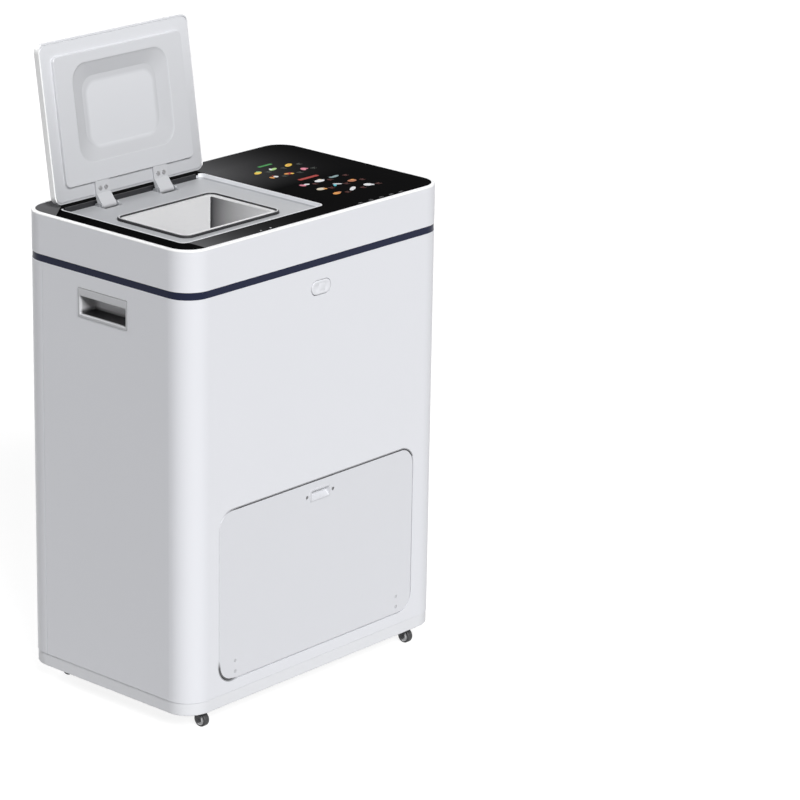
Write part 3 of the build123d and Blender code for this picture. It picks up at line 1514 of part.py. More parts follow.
filter_front = fan_y - fan_size / 2
cartridge_start = filter_front + filter_wall + fit_gap
cartridge_length = inner_half_depth - cartridge_grip - cartridge_start
with BuildPart() as filter_housing:
    with BuildSketch(Plane.XZ.offset(-filter_front)):
        with Locations((fan_x, door_middle)):
            Rectangle(filter_width, filter_height)
    extrude(amount=-(inner_half_depth - filter_front))
    with BuildSketch(Plane.XZ.offset(-(filter_front + filter_wall))):
        with Locations((fan_x, door_middle)):
            Rectangle(filter_inner_width, filter_inner_height)
    extrude(amount=-(inner_half_depth - filter_front), mode=Mode.SUBTRACT)
    with BuildSketch(Plane.XY.offset(filter_top - filter_wall)):
        with Locations((fan_x, fan_y)):
            Circle(fan_bore - 2)
    extrude(amount=filter_wall, mode=Mode.SUBTRACT)
finish(filter_housing.part, "filter_housing")

with BuildPart() as filter_cartridge:
    with BuildSketch(Plane.XY.offset(filter_bottom + filter_wall)):
        with Locations((fan_x, cartridge_start)):
            Rectangle(
                filter_inner_width - 2 * fit_gap,
                cartridge_length,
                align=(Align.CENTER, Align.MIN),
            )
    extrude(amount=filter_inner_height - 2)
    fillet(filter_cartridge.edges().filter_by(Axis.Z), 3)
    with BuildSketch(Plane.XY.offset(filter_top - filter_wall - 2)):
        with Locations((fan_x, cartridge_start + cartridge_length / 2)):
            with GridLocations(12, 12, 6, 7):
                Circle(3.5)
    extrude(amount=-4, mode=Mode.SUBTRACT)
finish(filter_cartridge.part, "filter_cartridge")

with BuildPart() as filter_door:
    with BuildSketch(Plane.XZ.offset(-rear_y)):
        with Locations((door_x, door_middle)):
            Rectangle(door_width, door_height)
    extrude(amount=door_thickness)
    hinge_edges = filter_door.edges().filter_by(Axis.Z).group_by(Axis.X)[0]
    fillet(hinge_edges, door_thickness / 2 - 0.01)
    with BuildSketch(Plane.XY.offset(door_middle - door_height / 2 - door_gap - door_pin_length + 0.5)):
        with Locations((hinge_x, door_mid_y)):
            Circle(door_pin_radius)
    extrude(amount=door_height + 2 * (door_gap + door_pin_length - 0.5))
    with BuildSketch(Plane.XZ.offset(-rear_y)):
        with Locations((door_x, door_middle)):
            with GridLocations(1, louvre_pitch, 1, 5):
                SlotOverall(door_width - 2 * door_border, louvre_height)
    extrude(amount=door_thickness, mode=Mode.SUBTRACT)
finish(filter_door.part, "filter_door")

# ================================================================ Electrics
socket_z = inlet_module_height - module_height / 2 + socket_height / 2 + 9
rocker_z = inlet_module_height + rocker_rise
rocker_y = rear_y - 2
with BuildPart() as power_inlet:
    with BuildSketch(Plane.XZ.offset(-rear_y)):
        with Locations((inlet_module_x, inlet_module_height)):
            RectangleRounded(module_width + 2 * module_flange, module_height + 2 * module_flange, 3)
    extrude(amount=-1.5)
    with BuildSketch(Plane.XZ.offset(-rear_y)):
        with Locations((inlet_module_x, inlet_module_height)):
            Rectangle(module_width, module_height)
    extrude(amount=module_depth)
    socket_floor = rear_y + 1.5 - socket_depth
    with BuildSketch(Plane.XZ.offset(-socket_floor)):
        with Locations((inlet_module_x, socket_z)):
            RectangleRounded(socket_width, socket_height, 3)
    extrude(amount=-socket_depth, mode=Mode.SUBTRACT)
    # Three blades of the inlet
    with BuildSketch(Plane.XZ.offset(-socket_floor)):
        with Locations((inlet_module_x - 7, socket_z - 2), (inlet_module_x + 7, socket_z - 2)):
            Rectangle(2, 4)
        with Locations((inlet_module_x, socket_z + 3)):
            Rectangle(2, 4)
    extrude(amount=-(socket_depth - 4))
    with BuildSketch(Plane.XZ.offset(-(rear_y - 14))):
        with Locations((inlet_module_x, rocker_z)):
            Rectangle(rocker_width + 2 * fit_gap, rocker_height + 2 * rocker_gap)
    extrude(amount=-16, mode=Mode.SUBTRACT)
    with BuildSketch(Plane.YZ.offset(inlet_module_x - rocker_width / 2 - 2)):
        with Locations((rocker_y, rocker_z)):
            Circle(1 + running_gap)
    extrude(amount=rocker_width + 4, mode=Mode.SUBTRACT)
finish(power_inlet.part, "power_inlet")

# Rocker, resting on its lower end
rocker_plane = Plane(
    origin=(inlet_module_x - rocker_width / 2, rocker_y, rocker_z),
    x_dir=(0, cos(radians(rocker_tilt)), sin(radians(rocker_tilt))),
    z_dir=(1, 0, 0),
)
with BuildPart() as switch_rocker:
    with BuildSketch(rocker_plane):
        Polygon(
            (-6, -2),
            (1.5, -rocker_height / 2 + 0.6),
            (3, -rocker_height / 2 + 0.6),
            (2, 0),
            (3, rocker_height / 2 - 0.6),
            (1.5, rocker_height / 2 - 0.6),
            (-6, 2),
            align=None,
        )
    extrude(amount=rocker_width)
    with BuildSketch(Plane.YZ.offset(inlet_module_x - rocker_width / 2 - 1.5)):
        with Locations((rocker_y, rocker_z)):
            Circle(1)
    extrude(amount=rocker_width + 3)
finish(switch_rocker.part, "switch_rocker")

supply_left = gearbox_x + gearbox_length / 4
supply_width = body_width / 2 - supply_side - supply_left
supply_x = supply_left + supply_width / 2
supply_y = -post_y + supply_front + supply_length / 2
with BuildPart() as power_supply:
    with BuildSketch(Plane.XY.offset(shelf_height)):
        with Locations((supply_x, supply_y)):
            Rectangle(supply_width, supply_length)
    extrude(amount=supply_height)
    chamfer(power_supply.faces().sort_by(Axis.Z)[-1].edges(), 1.5)
    with BuildSketch(Plane.XY.offset(shelf_height + supply_height)):
        with Locations((supply_x, supply_y)):
            with GridLocations(vent_pitch, vent_pitch, 8, 3):
                Circle(vent_radius)
    extrude(amount=-vent_radius, mode=Mode.SUBTRACT)
finish(power_supply.part, "power_supply")

board_y = post_y - control_rear - control_length / 2
with BuildPart() as main_board:
    with BuildSketch(Plane.XY.offset(shelf_height + standoff_height)):
        with Locations((supply_x, board_y)):
            Rectangle(supply_width, control_length)
    extrude(amount=board_thickness)
    with BuildSketch(Plane.XY.offset(shelf_height)):
        with Locations((supply_x, board_y)):
            with GridLocations(supply_width - 2 * standoff_inset, control_length - 2 * standoff_inset, 2, 2):
                Circle(standoff_inset / 2)
    extrude(amount=standoff_height)
    with BuildSketch(Plane.XY.offset(shelf_height + standoff_height + board_thickness)):
        with Locations((supply_x, board_y)):
            with GridLocations(relay_pitch, 2 * relay_length, 4, 3):
                Rectangle(relay_width, relay_length)
    extrude(amount=relay_height)
finish(main_board.part, "main_board")

# ================================================================ Casters
swivel_x = body_width / 2 - caster_side
swivel_y = body_depth / 2 - caster_front
swivels = {
    "front_left": (-swivel_x, -swivel_y),
    "front_right": (swivel_x, -swivel_y),
    "rear_left": (-swivel_x, swivel_y),
    "rear_right": (swivel_x, swivel_y),
}
plate_bottom = floor_bottom - caster_plate_thickness
crown_top = plate_bottom - fit_gap
crown_bottom = crown_top - fork_crown
cheek_inner = wheel_width / 2 + cheek_gap
cheek_outer = cheek_inner + cheek_thickness

with BuildPart() as caster_plates:
    with BuildSketch(Plane.XY.offset(plate_bottom)):
        with Locations(*swivels.values()):
            RectangleRounded(caster_plate_size, caster_plate_size, 3)
    extrude(amount=caster_plate_thickness)
    with BuildSketch(Plane.XY.offset(plate_bottom)):
        with Locations(*swivels.values()):
            Circle(rivet_radius)
    extrude(amount=-(fork_crown + 2 * fit_gap))
    with BuildSketch(Plane.XY.offset(crown_bottom - fit_gap)):
        with Locations(*swivels.values()):
            Circle(rivet_head)
    extrude(amount=-1.3)
finish(caster_plates.part, "caster_plates")


def caster_fork(x, y, name):
    """Fork with its axle, trailing the swivel axis by the trail."""
    axle_y = y - caster_trail
    with BuildPart() as fork:
        with BuildSketch(Plane.XY.offset(crown_bottom)):
            with Locations((x, y)):
                Circle(cheek_outer + 2)
            with Locations((x, y)):
                Rectangle(2 * cheek_outer, caster_trail + 3, align=(Align.CENTER, Align.MAX))
            with Locations((x, y)):
                Circle(rivet_radius + running_gap, mode=Mode.SUBTRACT)
        extrude(amount=fork_crown)
        for side in (-1, 1):
            with BuildSketch(Plane.YZ.offset(x + side * (cheek_inner + cheek_thickness / 2))):
                Polygon(
                    (y - caster_trail - 3, crown_bottom + 0.5),
                    (y + 4, crown_bottom + 0.5),
                    (axle_y + 3.6, wheel_radius),
                    (axle_y - 3.6, wheel_radius),
                    align=None,
                )
                with Locations((axle_y, wheel_radius)):
                    Circle(3.6)
            extrude(amount=cheek_thickness / 2, both=True)
        with BuildSketch(Plane.YZ.offset(x - cheek_outer - 0.8)):
            with Locations((axle_y, wheel_radius)):
                Circle(axle_radius)
        extrude(amount=2 * cheek_outer + 1.6)
    finish(fork.part, name)


def caster_wheel(x, y, name):
    """Wheel on the fork's axle."""
    axle_y = y - caster_trail
    with BuildPart() as wheel:
        with BuildSketch(Plane.YZ.offset(x - wheel_width / 2)):
            with Locations((axle_y, wheel_radius)):
                Circle(wheel_radius)
                Circle(axle_radius + running_gap, mode=Mode.SUBTRACT)
        extrude(amount=wheel_width)
        rims = wheel.edges().filter_by(GeomType.CIRCLE).sort_by(SortBy.RADIUS)[-2:]
        fillet(rims, 1.5)
    finish(wheel.part, name)


for place, (swivel_at_x, swivel_at_y) in swivels.items():
    caster_fork(swivel_at_x, swivel_at_y, f"caster_fork_{place}")
    caster_wheel(swivel_at_x, swivel_at_y, f"caster_wheel_{place}")
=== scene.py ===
"""Dresses the food waste composter: finishes for its frame and moulded pieces over it."""

import json
import math
from collections import namedtuple

import bmesh
import bpy
from mathutils import Matrix, Vector


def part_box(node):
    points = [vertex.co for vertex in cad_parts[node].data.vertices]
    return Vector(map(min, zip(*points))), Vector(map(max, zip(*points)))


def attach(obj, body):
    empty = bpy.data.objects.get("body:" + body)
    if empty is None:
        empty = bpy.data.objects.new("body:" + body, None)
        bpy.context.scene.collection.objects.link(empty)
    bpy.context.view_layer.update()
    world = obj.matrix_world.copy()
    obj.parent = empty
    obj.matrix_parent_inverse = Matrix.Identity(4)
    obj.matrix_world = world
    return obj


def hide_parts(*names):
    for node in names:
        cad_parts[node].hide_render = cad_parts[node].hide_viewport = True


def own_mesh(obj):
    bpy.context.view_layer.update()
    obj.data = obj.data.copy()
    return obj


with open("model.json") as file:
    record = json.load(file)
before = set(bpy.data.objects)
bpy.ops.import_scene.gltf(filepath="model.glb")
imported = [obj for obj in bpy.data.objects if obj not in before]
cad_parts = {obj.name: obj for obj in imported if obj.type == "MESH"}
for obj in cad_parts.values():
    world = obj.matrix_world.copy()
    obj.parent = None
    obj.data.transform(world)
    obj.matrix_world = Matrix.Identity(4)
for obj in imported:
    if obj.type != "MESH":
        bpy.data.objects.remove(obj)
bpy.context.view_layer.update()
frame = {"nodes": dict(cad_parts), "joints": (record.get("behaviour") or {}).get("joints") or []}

bl_info = {
    "name": "Food waste composter dressing",
    "version": (1, 0, 0),
    "blender": (4, 5, 0),
    "location": "3D View > Sidebar > Composter",
    "description": "Finishes and moulded pieces for a floor-standing food waste composter",
    "category": "Object",
}

MM = 0.001
RIGHT, BACK, UP = (1, 0, 0), (0, 1, 0), (0, 0, 1)
WHITE = (1, 1, 1)
# The colour of the painted highlight on rounded rims
PAINTED_RIM_HIGHLIGHT = (0.97, 0.975, 0.98)
NODES = frame["nodes"]
JOINTS = {joint["name"]: joint for joint in frame["joints"]}


# ---------------------------------------------------------------- Settings


def tint(label, words, colour):
    """A colour setting."""
    return bpy.props.FloatVectorProperty(
        name=label, description=words, default=colour, subtype="COLOR", size=3, min=0, max=1
    )


def length(label, words, millimetres):
    """A length setting, kept in metres."""
    return bpy.props.FloatProperty(
        name=label, description=words, default=millimetres * MM, unit="LENGTH", subtype="DISTANCE"
    )


class ComposterColours(bpy.types.PropertyGroup):
    """Colours of the composter's finishes."""

    casing: tint("Casing", "Moulded outer casing", (0.80, 0.81, 0.85))
    skirt: tint("Skirt", "Base pan and its skirt", (0.79, 0.80, 0.83))
    stripe: tint("Stripe", "Band under the top housing", (0.014, 0.018, 0.045))
    glass: tint("Glass", "Back-printed glass top", (0.0018, 0.0018, 0.002))
    deck: tint("Deck", "Moulded deck round the throat", (0.50, 0.51, 0.53))
    lid_panel: tint("Lid panel", "Inner face of the lid", (0.72, 0.73, 0.76))
    hardware: tint("Hardware", "Grey mouldings such as arms and handles", (0.40, 0.405, 0.42))
    steel: tint("Steel", "Brushed stainless steel", (0.66, 0.66, 0.67))
    seal: tint("Seal", "Rubber round the throat", (0.010, 0.010, 0.012))


class ComposterSizes(bpy.types.PropertyGroup):
    """Sizes of the moulded pieces."""

    handle_width: length("Handle width", "Width of a handle's plate", 90)
    handle_height: length("Handle height", "Height of a handle's plate", 40)
    handle_depth: length("Handle depth", "Depth of a handle's pocket", 26)
    button_width: length("Button width", "Width of the start button", 36)
    button_height: length("Button height", "Height of the start button", 19)
    grip_width: length("Grip width", "Width of the drawer's grip", 36)
    grip_height: length("Grip height", "Height of the drawer's grip", 14)
    drawer_radius: length("Drawer corner", "Corner radius of the drawer's front", 24)
    seal_radius: length("Seal radius", "Outer corner radius of the seal round the throat", 14.3)
    icon_size: length("Icon size", "Size of a printed food icon", 17)
    print_thickness: length("Print thickness", "Thickness of the ink on the glass", 0.12)


# ---------------------------------------------------------------- Finishes


class Wire:
    """A socket that takes part in expressions, which add their Math nodes."""

    def __init__(self, nodes, socket):
        self.nodes = nodes
        self.socket = socket

    def __add__(self, other):
        return self.nodes.maths("ADD", self, other)

    __radd__ = __add__

    def __sub__(self, other):
        return self.nodes.maths("SUBTRACT", self, other)

    def __rsub__(self, other):
        return self.nodes.maths("SUBTRACT", other, self)

    def __mul__(self, other):
        return self.nodes.maths("MULTIPLY", self, other)

    __rmul__ = __mul__

    def __truediv__(self, other):
        return self.nodes.maths("DIVIDE", self, other)

    def __rtruediv__(self, other):
        return self.nodes.maths("DIVIDE", other, self)

    def __pow__(self, power):
        return self.nodes.maths("POWER", self, power)

    def held(self):
        """Its value, held between 0 and 1."""
        return self.nodes.maths("ADD", self, 0.0, clamp=True)

    def size(self):
        """Its value without the sign."""
        return self.nodes.maths("ABSOLUTE", self)

    def most(self, other):
        return self.nodes.maths("MAXIMUM", self, other)

    def above(self, limit):
        return self.nodes.maths("GREATER_THAN", self, limit)

    def below(self, limit):
        return self.nodes.maths("LESS_THAN", self, limit)

    def lines(self, pitch, middle, clear):
        """A mask of lines that repeat at a pitch, with a clear stretch about the middle."""
        rest = self.nodes.maths("FLOORED_MODULO", self, pitch)
        return (rest - middle).size().above(clear / 2)


class Nodes:
    """A node tree that expressions fill."""

    def __init__(self, tree):
        self.tree = tree
        tree.nodes.clear()

    def feed(self, socket, value):
        """Links a wire to a socket, or sets the socket's own value."""
        if isinstance(value, Wire):
            self.tree.links.new(value.socket, socket)
        elif socket.type == "RGBA":
            socket.default_value = (*value, 1.0)
        else:
            socket.default_value = value

    def node(self, kind, settings=None, inputs=None, output=0):
        """Adds a node, and returns the wire from one of its outputs."""
        made = self.tree.nodes.new(kind)
        for key, value in (settings or {}).items():
            setattr(made, key, value)
        for key, value in (inputs or {}).items():
            self.feed(made.inputs[key], value)
        return Wire(self, made.outputs[output]) if made.outputs else None

    def maths(self, operation, first, second=0.0, clamp=False):
        settings = {"operation": operation, "use_clamp": clamp}
        return self.node("ShaderNodeMath", settings, {0: first, 1: second})

    def seen(self):
        """A mask of the rays that find the backdrop white."""
        rays = ("Is Camera Ray", "Is Glossy Ray", "Is Transmission Ray")
        camera, glossy, through = [self.node("ShaderNodeLightPath", output=ray) for ray in rays]
        return camera.most(glossy).most(through)


class Finish(Nodes):
    """One material, built round a Principled shader."""

    def __init__(self, name, **constants):
        self.material = bpy.data.materials.new(name)
        self.material.use_nodes = True
        super().__init__(self.material.node_tree)
        values = {key.replace("_", " "): value for key, value in constants.items()}
        surface = self.node("ShaderNodeBsdfPrincipled", {}, values)
        self.shader = surface.socket.node
        self.node("ShaderNodeOutputMaterial", {}, {0: surface})
        self.place = self.node("ShaderNodeTexCoord", output="Object")

    def set(self, socket, value):
        self.feed(self.shader.inputs[socket], value)
        return self

    def axes(self):
        """Where a point lies along X, Y and Z."""
        split = self.node("ShaderNodeSeparateXYZ", {}, {0: self.place}).socket.node
        return [Wire(self, socket) for socket in split.outputs]

    def along(self, direction, origin):
        """How far a point lies from an origin along a direction."""
        parts = zip(self.axes(), origin, direction)
        x, y, z = [(place - start) * share for place, start, share in parts]
        return x + y + z

    def noise(self, scale, detail=3.0, roughness=0.5, squeeze=None):
        """Soft noise, which is finer along an axis where it is squeezed."""
        place = self.place
        if squeeze:
            place = self.node("ShaderNodeMapping", {}, {0: place, "Scale": squeeze})
        inputs = {"Vector": place, "Scale": scale, "Detail": detail, "Roughness": roughness}
        return self.node("ShaderNodeTexNoise", {}, inputs)

    def cells(self, scale):
        return self.node("ShaderNodeTexVoronoi", {}, {"Vector": self.place, "Scale": scale})

    def blend(self, factor, first, second):
        inputs = {0: factor, 6: first, 7: second}
        return self.node("ShaderNodeMix", {"data_type": "RGBA"}, inputs, 2)

    def colour(self, mask, first, second):
        """Takes the base colour from one colour to another by a mask."""
        return self.set("Base Color", self.blend(mask, first, second))

    def fade(self, mask, colour):
        """Fades the base colour to another one by a mask."""
        base = Wire(self, self.shader.inputs["Base Color"].links[0].from_socket)
        return self.colour(mask, base, colour)

    def outline(self, across, up, half_width, half_height, radius):
        """Distance outside a rounded rectangle, negative inside it."""
        right = (across.size() - (half_width - radius)).most(0.0)
        top = (up.size() - (half_height - radius)).most(0.0)
        return self.maths("SQRT", right * right + top * top) - radius

    def bump(self, height, distance):
        inputs = {"Height": height, "Distance": distance, "Strength": 1.0}
        return self.set("Normal", self.node("ShaderNodeBump", {}, inputs))

    def dress(self, *names):
        """Gives carried-over nodes this finish."""
        for name in names:
            piece = NODES[name]
            if not piece.material_slots:
                piece.data.materials.append(None)
            for slot in piece.material_slots:
                slot.material = self.material


def shade(colour, share):
    """A colour made lighter or darker by a share."""
    return tuple(min(1.0, channel * share) for channel in colour)


def moulded(name, colour, roughness=0.42, grain=0.02, cloud=0.03, **constants):
    """Moulded plastic: a fine spark texture, soft flow clouding and a satin that varies."""
    finish = Finish(name, **constants)
    flow = finish.noise(9.0, 2.0)
    speck = finish.noise(420.0, 2.0, 0.6)
    mask = (flow * 0.7 + speck * 0.3).held()
    finish.colour(mask, shade(colour, 1 - cloud), shade(colour, 1 + cloud))
    finish.set("Roughness", (flow - 0.5) * 0.10 + (speck - 0.5) * 0.06 + roughness)
    spark = finish.noise(2600.0, 2.0, 0.7)
    finish.bump(spark, grain * MM)
    return finish


def casing_satin(name, colour, **constants):
    """The casing's satin plastic."""
    return moulded(name + "_satin", colour, 0.36, 0.012, 0.012, **constants)


def brushed(name, colour, roughness=0.28, squeeze=(1, 1, 90), depth=0.01, **constants):
    """Brushed metal: long scratches across the squeezed axis, with faint smears."""
    finish = Finish(name, Metallic=1.0, **constants)
    scratches = finish.noise(60.0, 4.0, 0.65, squeeze)
    smear = finish.noise(14.0, 2.0)
    finish.colour(scratches, shade(colour, 0.93), shade(colour, 1.06))
    finish.set("Roughness", (scratches - 0.5) * 0.22 + (smear - 0.5) * 0.12 + roughness)
    finish.bump(scratches, depth * MM)
    return finish


def painted(name, colour, roughness):
    """Sprayed metal: orange peel and a few small chips."""
    finish = Finish(name)
    peel = finish.noise(700.0, 2.0)
    patches = finish.noise(30.0, 5.0, 0.7)
    chips = ((patches - 0.70) * 30.0).held()
    base = finish.blend(peel, shade(colour, 0.93), shade(colour, 1.06))
    finish.colour(chips, base, shade(colour, 1.7))
    finish.set("Roughness", (peel - 0.5) * 0.16 + chips * 0.1 + roughness)
    finish.bump(peel - chips * 0.8, 0.03 * MM)
    return finish


def rubbery(name, colour, roughness):
    """Matt rubber with a dusty bloom."""
    finish = Finish(name)
    bloom = finish.noise(80.0, 5.0, 0.65)
    grit = finish.noise(1800.0, 2.0)
    finish.colour(bloom, shade(colour, 0.8), shade(colour, 1.35))
    finish.set("Roughness", (bloom - 0.5) * 0.2 + roughness)
    finish.bump(grit, 0.04 * MM)
    return finish


def ink(name, colour):
    """Screen-printed ink: slightly raised, with the screen's mesh just visible."""
    finish = Finish("ink_" + name, Specular_IOR_Level=0.06)
    screen = finish.cells(1500.0)
    finish.colour(screen, shade(colour, 0.85), shade(colour, 1.12))
    finish.set("Roughness", screen * 0.2 + 0.3)
    finish.bump(screen, 0.01 * MM)
    return finish


def reach(name, axis):
    """A node's lowest and highest point along an axis."""
    axis = Vector(axis)
    rises = [axis.dot(vert.co) for vert in NODES[name].data.vertices]
    return min(rises), max(rises)


# The open lid's directions, with the middle of its inner panel and its size in millimetres
LidFrame = namedtuple("LidFrame", "centre along out width height")


def lid_frame():
    """The frame of the lid as it stands at rest."""
    lean = math.radians(JOINTS["lid_hinge"]["range_deg"][1] - 90)
    along = Vector((0, math.sin(lean), math.cos(lean)))
    out = Vector((0, -math.cos(lean), math.sin(lean)))
    left, right = reach("lid_liner", RIGHT)
    start, end = reach("lid_liner", along)
    centre = along * ((start + end) / 2) + out * reach("lid_liner", out)[1]
    centre.x = (left + right) / 2
    return LidFrame(centre, along, out, (right - left) / MM, (end - start) / MM)


def low_end(finish):
    """A mask for painted shade, which grows from the open lid's top to its low end."""
    lid = lid_frame()
    return (0.5 - finish.along(lid.along, lid.centre) / (lid.height * MM)).held()


# ---------------------------------------------------------------- Shapes

# A rounded rectangle at a rise, in millimetres
Section = namedtuple("Section", "width height radius middle rise")


def stepped(width, height, steps, middle=(0, 0)):
    """Sections from steps of trim across, trim up, corner radius and rise, in millimetres."""
    return [
        Section(width - across, height - up, radius, middle, rise) for across, up, radius, rise in steps
    ]


def rotated(degrees, axis):
    """A turn about an axis through the origin."""
    return Matrix.Rotation(math.radians(degrees), 4, axis)


def stand(origin, along, up):
    """A frame at a point whose X runs along, Y up and Z out of the face."""
    along = Vector(along).normalized()
    up = Vector(up).normalized()
    turn = Matrix((along, up, along.cross(up))).transposed().to_4x4()
    return Matrix.Translation(Vector(origin)) @ turn


def facing_front(name, proud):
    """A frame that stands proud of the front of a node, in the middle of it."""
    low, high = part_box(name)
    return stand(((low.x + high.x) / 2, low.y + proud, (low.z + high.z) / 2), RIGHT, UP)


def on_foot(name):
    """A frame in the middle of a node's foot."""
    low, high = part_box(name)
    return Matrix.Translation(((low.x + high.x) / 2, (low.y + high.y) / 2, low.z))


def rounded_ring(bm, width, height, radius, place, steps):
    """Adds a rounded rectangle and returns its edges."""
    known = set(bm.faces)
    corners = bmesh.ops.create_grid(bm, x_segments=1, y_segments=1, size=0.5)["verts"]
    bmesh.ops.scale(bm, vec=(width, height, 1), verts=corners)
    bmesh.ops.bevel(
        bm,
        geom=corners,
        offset=radius,
        offset_type="OFFSET",
        segments=steps,
        profile=0.5,
        affect="VERTICES",
        material=-1,
    )
    face = [found for found in bm.faces if found not in known][0]
    edges = list(face.edges)
    bmesh.ops.transform(bm, matrix=place, verts=list(face.verts))
    bmesh.ops.delete(bm, geom=[face], context="FACES_ONLY")
    return edges


def drawn_out(bm, ring):
    """Extrudes a ring of edges, and returns the new ring and its vertices."""
    made = bmesh.ops.extrude_edge_only(bm, edges=ring)["geom"]
    fresh = [item for item in made if isinstance(item, bmesh.types.BMVert)]
    found = set(fresh)
    edges = [item for item in made if isinstance(item, bmesh.types.BMEdge)]
    return [edge for edge in edges if set(edge.verts) <= found], fresh


def reshaped(spot, last, section):
    """Where a point of the last section lands on the next one."""
    moved = Vector((0, 0, section.rise))
    for axis in (0, 1):
        away = spot[axis] - last.middle[axis]
        side = 1 if away > 0 else -1
        share = (abs(away) - last[axis] / 2 + last.radius) / last.radius
        half = section[axis] / 2 - section.radius + share * section.radius
        moved[axis] = section.middle[axis] + side * half
    return moved


def moulding(bm, sections, place, steps, closed=False):
    """A skin over sections, with capped ends unless it closes on itself."""
    first = sections[0]
    shift = Matrix.Translation(Vector((*first.middle, first.rise)) * MM)
    size = (first.width * MM, first.height * MM, first.radius * MM)
    ring = rounded_ring(bm, *size, place @ shift, steps)
    start = ring
    back = place.inverted()
    for last, section in zip(sections, sections[1:]):
        ring, verts = drawn_out(bm, ring)
        for vert in verts:
            vert.co = place @ (reshaped((back @ vert.co) / MM, last, section) * MM)
    if not closed:
        for end in (start, ring):
            bmesh.ops.edgeloop_fill(bm, edges=end)


def swept(bm, ring, places):
    """A skin from a ring that is carried from place to place, with capped ends."""
    first = ring
    for last, place in zip(places, places[1:]):
        ring, verts = drawn_out(bm, ring)
        bmesh.ops.transform(bm, matrix=place @ last.inverted(), verts=verts)
    for end in (first, ring):
        bmesh.ops.edgeloop_fill(bm, edges=end)


def turned(bm, profile, place, steps=48):
    """A closed profile of radius and rise, in millimetres, spun about the frame's Z."""
    start = len(bm.verts)
    verts = [bm.verts.new((radius * MM, 0, rise * MM)) for radius, rise in profile]
    edges = [bm.edges.new(pair) for pair in zip(verts, verts[1:] + verts[:1])]
    bmesh.ops.spin(
        bm,
        geom=verts + edges,
        cent=(0, 0, 0),
        axis=UP,
        angle=2 * math.pi,
        steps=steps,
        use_merge=True,
    )
    bm.verts.ensure_lookup_table()
    bmesh.ops.transform(bm, matrix=place, verts=bm.verts[start:])


def clean(bm):
    """Merges doubles and turns every face outwards."""
    bmesh.ops.remove_doubles(bm, verts=bm.verts, dist=0.002 * MM)
    bmesh.ops.recalc_face_normals(bm, faces=bm.faces)


def second_finish(bm, place, chosen):
    """Gives the second finish to each face whose middle, in the place's millimetres, is chosen."""
    clean(bm)
    back = place.inverted()
    for face in bm.faces:
        if chosen(back @ face.calc_center_median() / MM):
            face.material_index = 1


def add_piece(name, bm, finishes, body, stands_for=None, sharp=35):
    """Makes the finished piece, puts it on the body it rides on and hides the node it stands for."""
    clean(bm)
    mesh = bpy.data.meshes.new(name)
    bm.to_mesh(mesh)
    bm.free()
    for finish in finishes:
        mesh.materials.append(finish.material)
    mesh.shade_smooth()
    mesh.set_sharp_from_angle(angle=math.radians(sharp))
    piece = bpy.data.objects.new(name, mesh)
    bpy.context.scene.collection.objects.link(piece)
    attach(piece, body)
    if stands_for:
        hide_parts(stands_for)
    return piece


def corner_steps(count):
    """Shares of a quarter turn, as how far in and how far up."""
    for step in range(count + 1):
        angle = math.pi / 2 * step / count
        yield 1 - math.cos(angle), math.sin(angle)


# ---------------------------------------------------------------- Operators


class Maker:
    """What every operator of the composter shares."""

    bl_options = {"REGISTER"}

    def execute(self, context):
        """Runs the maker's own step with its settings."""
        self.make(context.scene.composter_colours, context.scene.composter_sizes)
        return {"FINISHED"}


class COMPOSTER_OT_casing(Maker, bpy.types.Operator):
    """Finish the casing panels, the base and the stripe"""

    bl_idname = "composter.casing"
    bl_label = "Casing"

    def make(self, colours, sizes):
        covers = casing_satin("casing", colours.casing, Coat_Roughness=0.2, Coat_Weight=0.15)
        covers.dress("rear_cover", "filter_door")
        self.rimmed(colours.casing).dress("top_housing")
        skirt = moulded("skirt_satin", colours.skirt, 0.42, 0.015, 0.015)
        seam, softness = 0.6 * MM, 0.1 * MM
        near_shell = skirt.along(UP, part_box("front_shell")[0]) + seam
        skirt.fade((near_shell / softness).held(), (0.10, 0.10, 0.105)).dress("base_pan")
        stripe = moulded("stripe_gloss", colours.stripe, 0.3, 0.004, 0.08, Specular_IOR_Level=0.12)
        stripe.dress("stripe_band")

    def rimmed(self, colour):
        """Satin with a painted highlight on its rim round the glass."""
        rim_height = 2.2 * MM
        satin = casing_satin("top_housing", colour)
        below_top = satin.along(UP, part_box("top_housing")[1])
        return satin.fade(below_top.above(-rim_height), PAINTED_RIM_HIGHLIGHT)


class COMPOSTER_OT_lid_cover(Maker, bpy.types.Operator):
    """Finish the lid's outer shell, which shows round its inner panel"""

    bl_idname = "composter.lid_cover"
    bl_label = "Lid cover"

    def make(self, colours, sizes):
        side, flange = 3 * MM, 6.5 * MM
        satin = casing_satin("lid_cover", colours.casing)
        low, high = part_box("lid_cover")
        x = satin.axes()[0]
        sides = x.below(low.x + side).most(x.above(high.x - side))
        lid = lid_frame()
        facing = satin.along(lid.out, lid.centre).above(-flange) * (1 - sides)
        satin.fade(facing, colours.lid_panel)
        # Painted shade: the out-facing flange darkens towards the lid's low end
        satin.fade(facing * low_end(satin) * 0.7, shade(colours.lid_panel, 0.4))
        # Painted highlight on the lid's side faces
        satin.fade(sides, PAINTED_RIM_HIGHLIGHT)
        satin.dress("lid_cover")


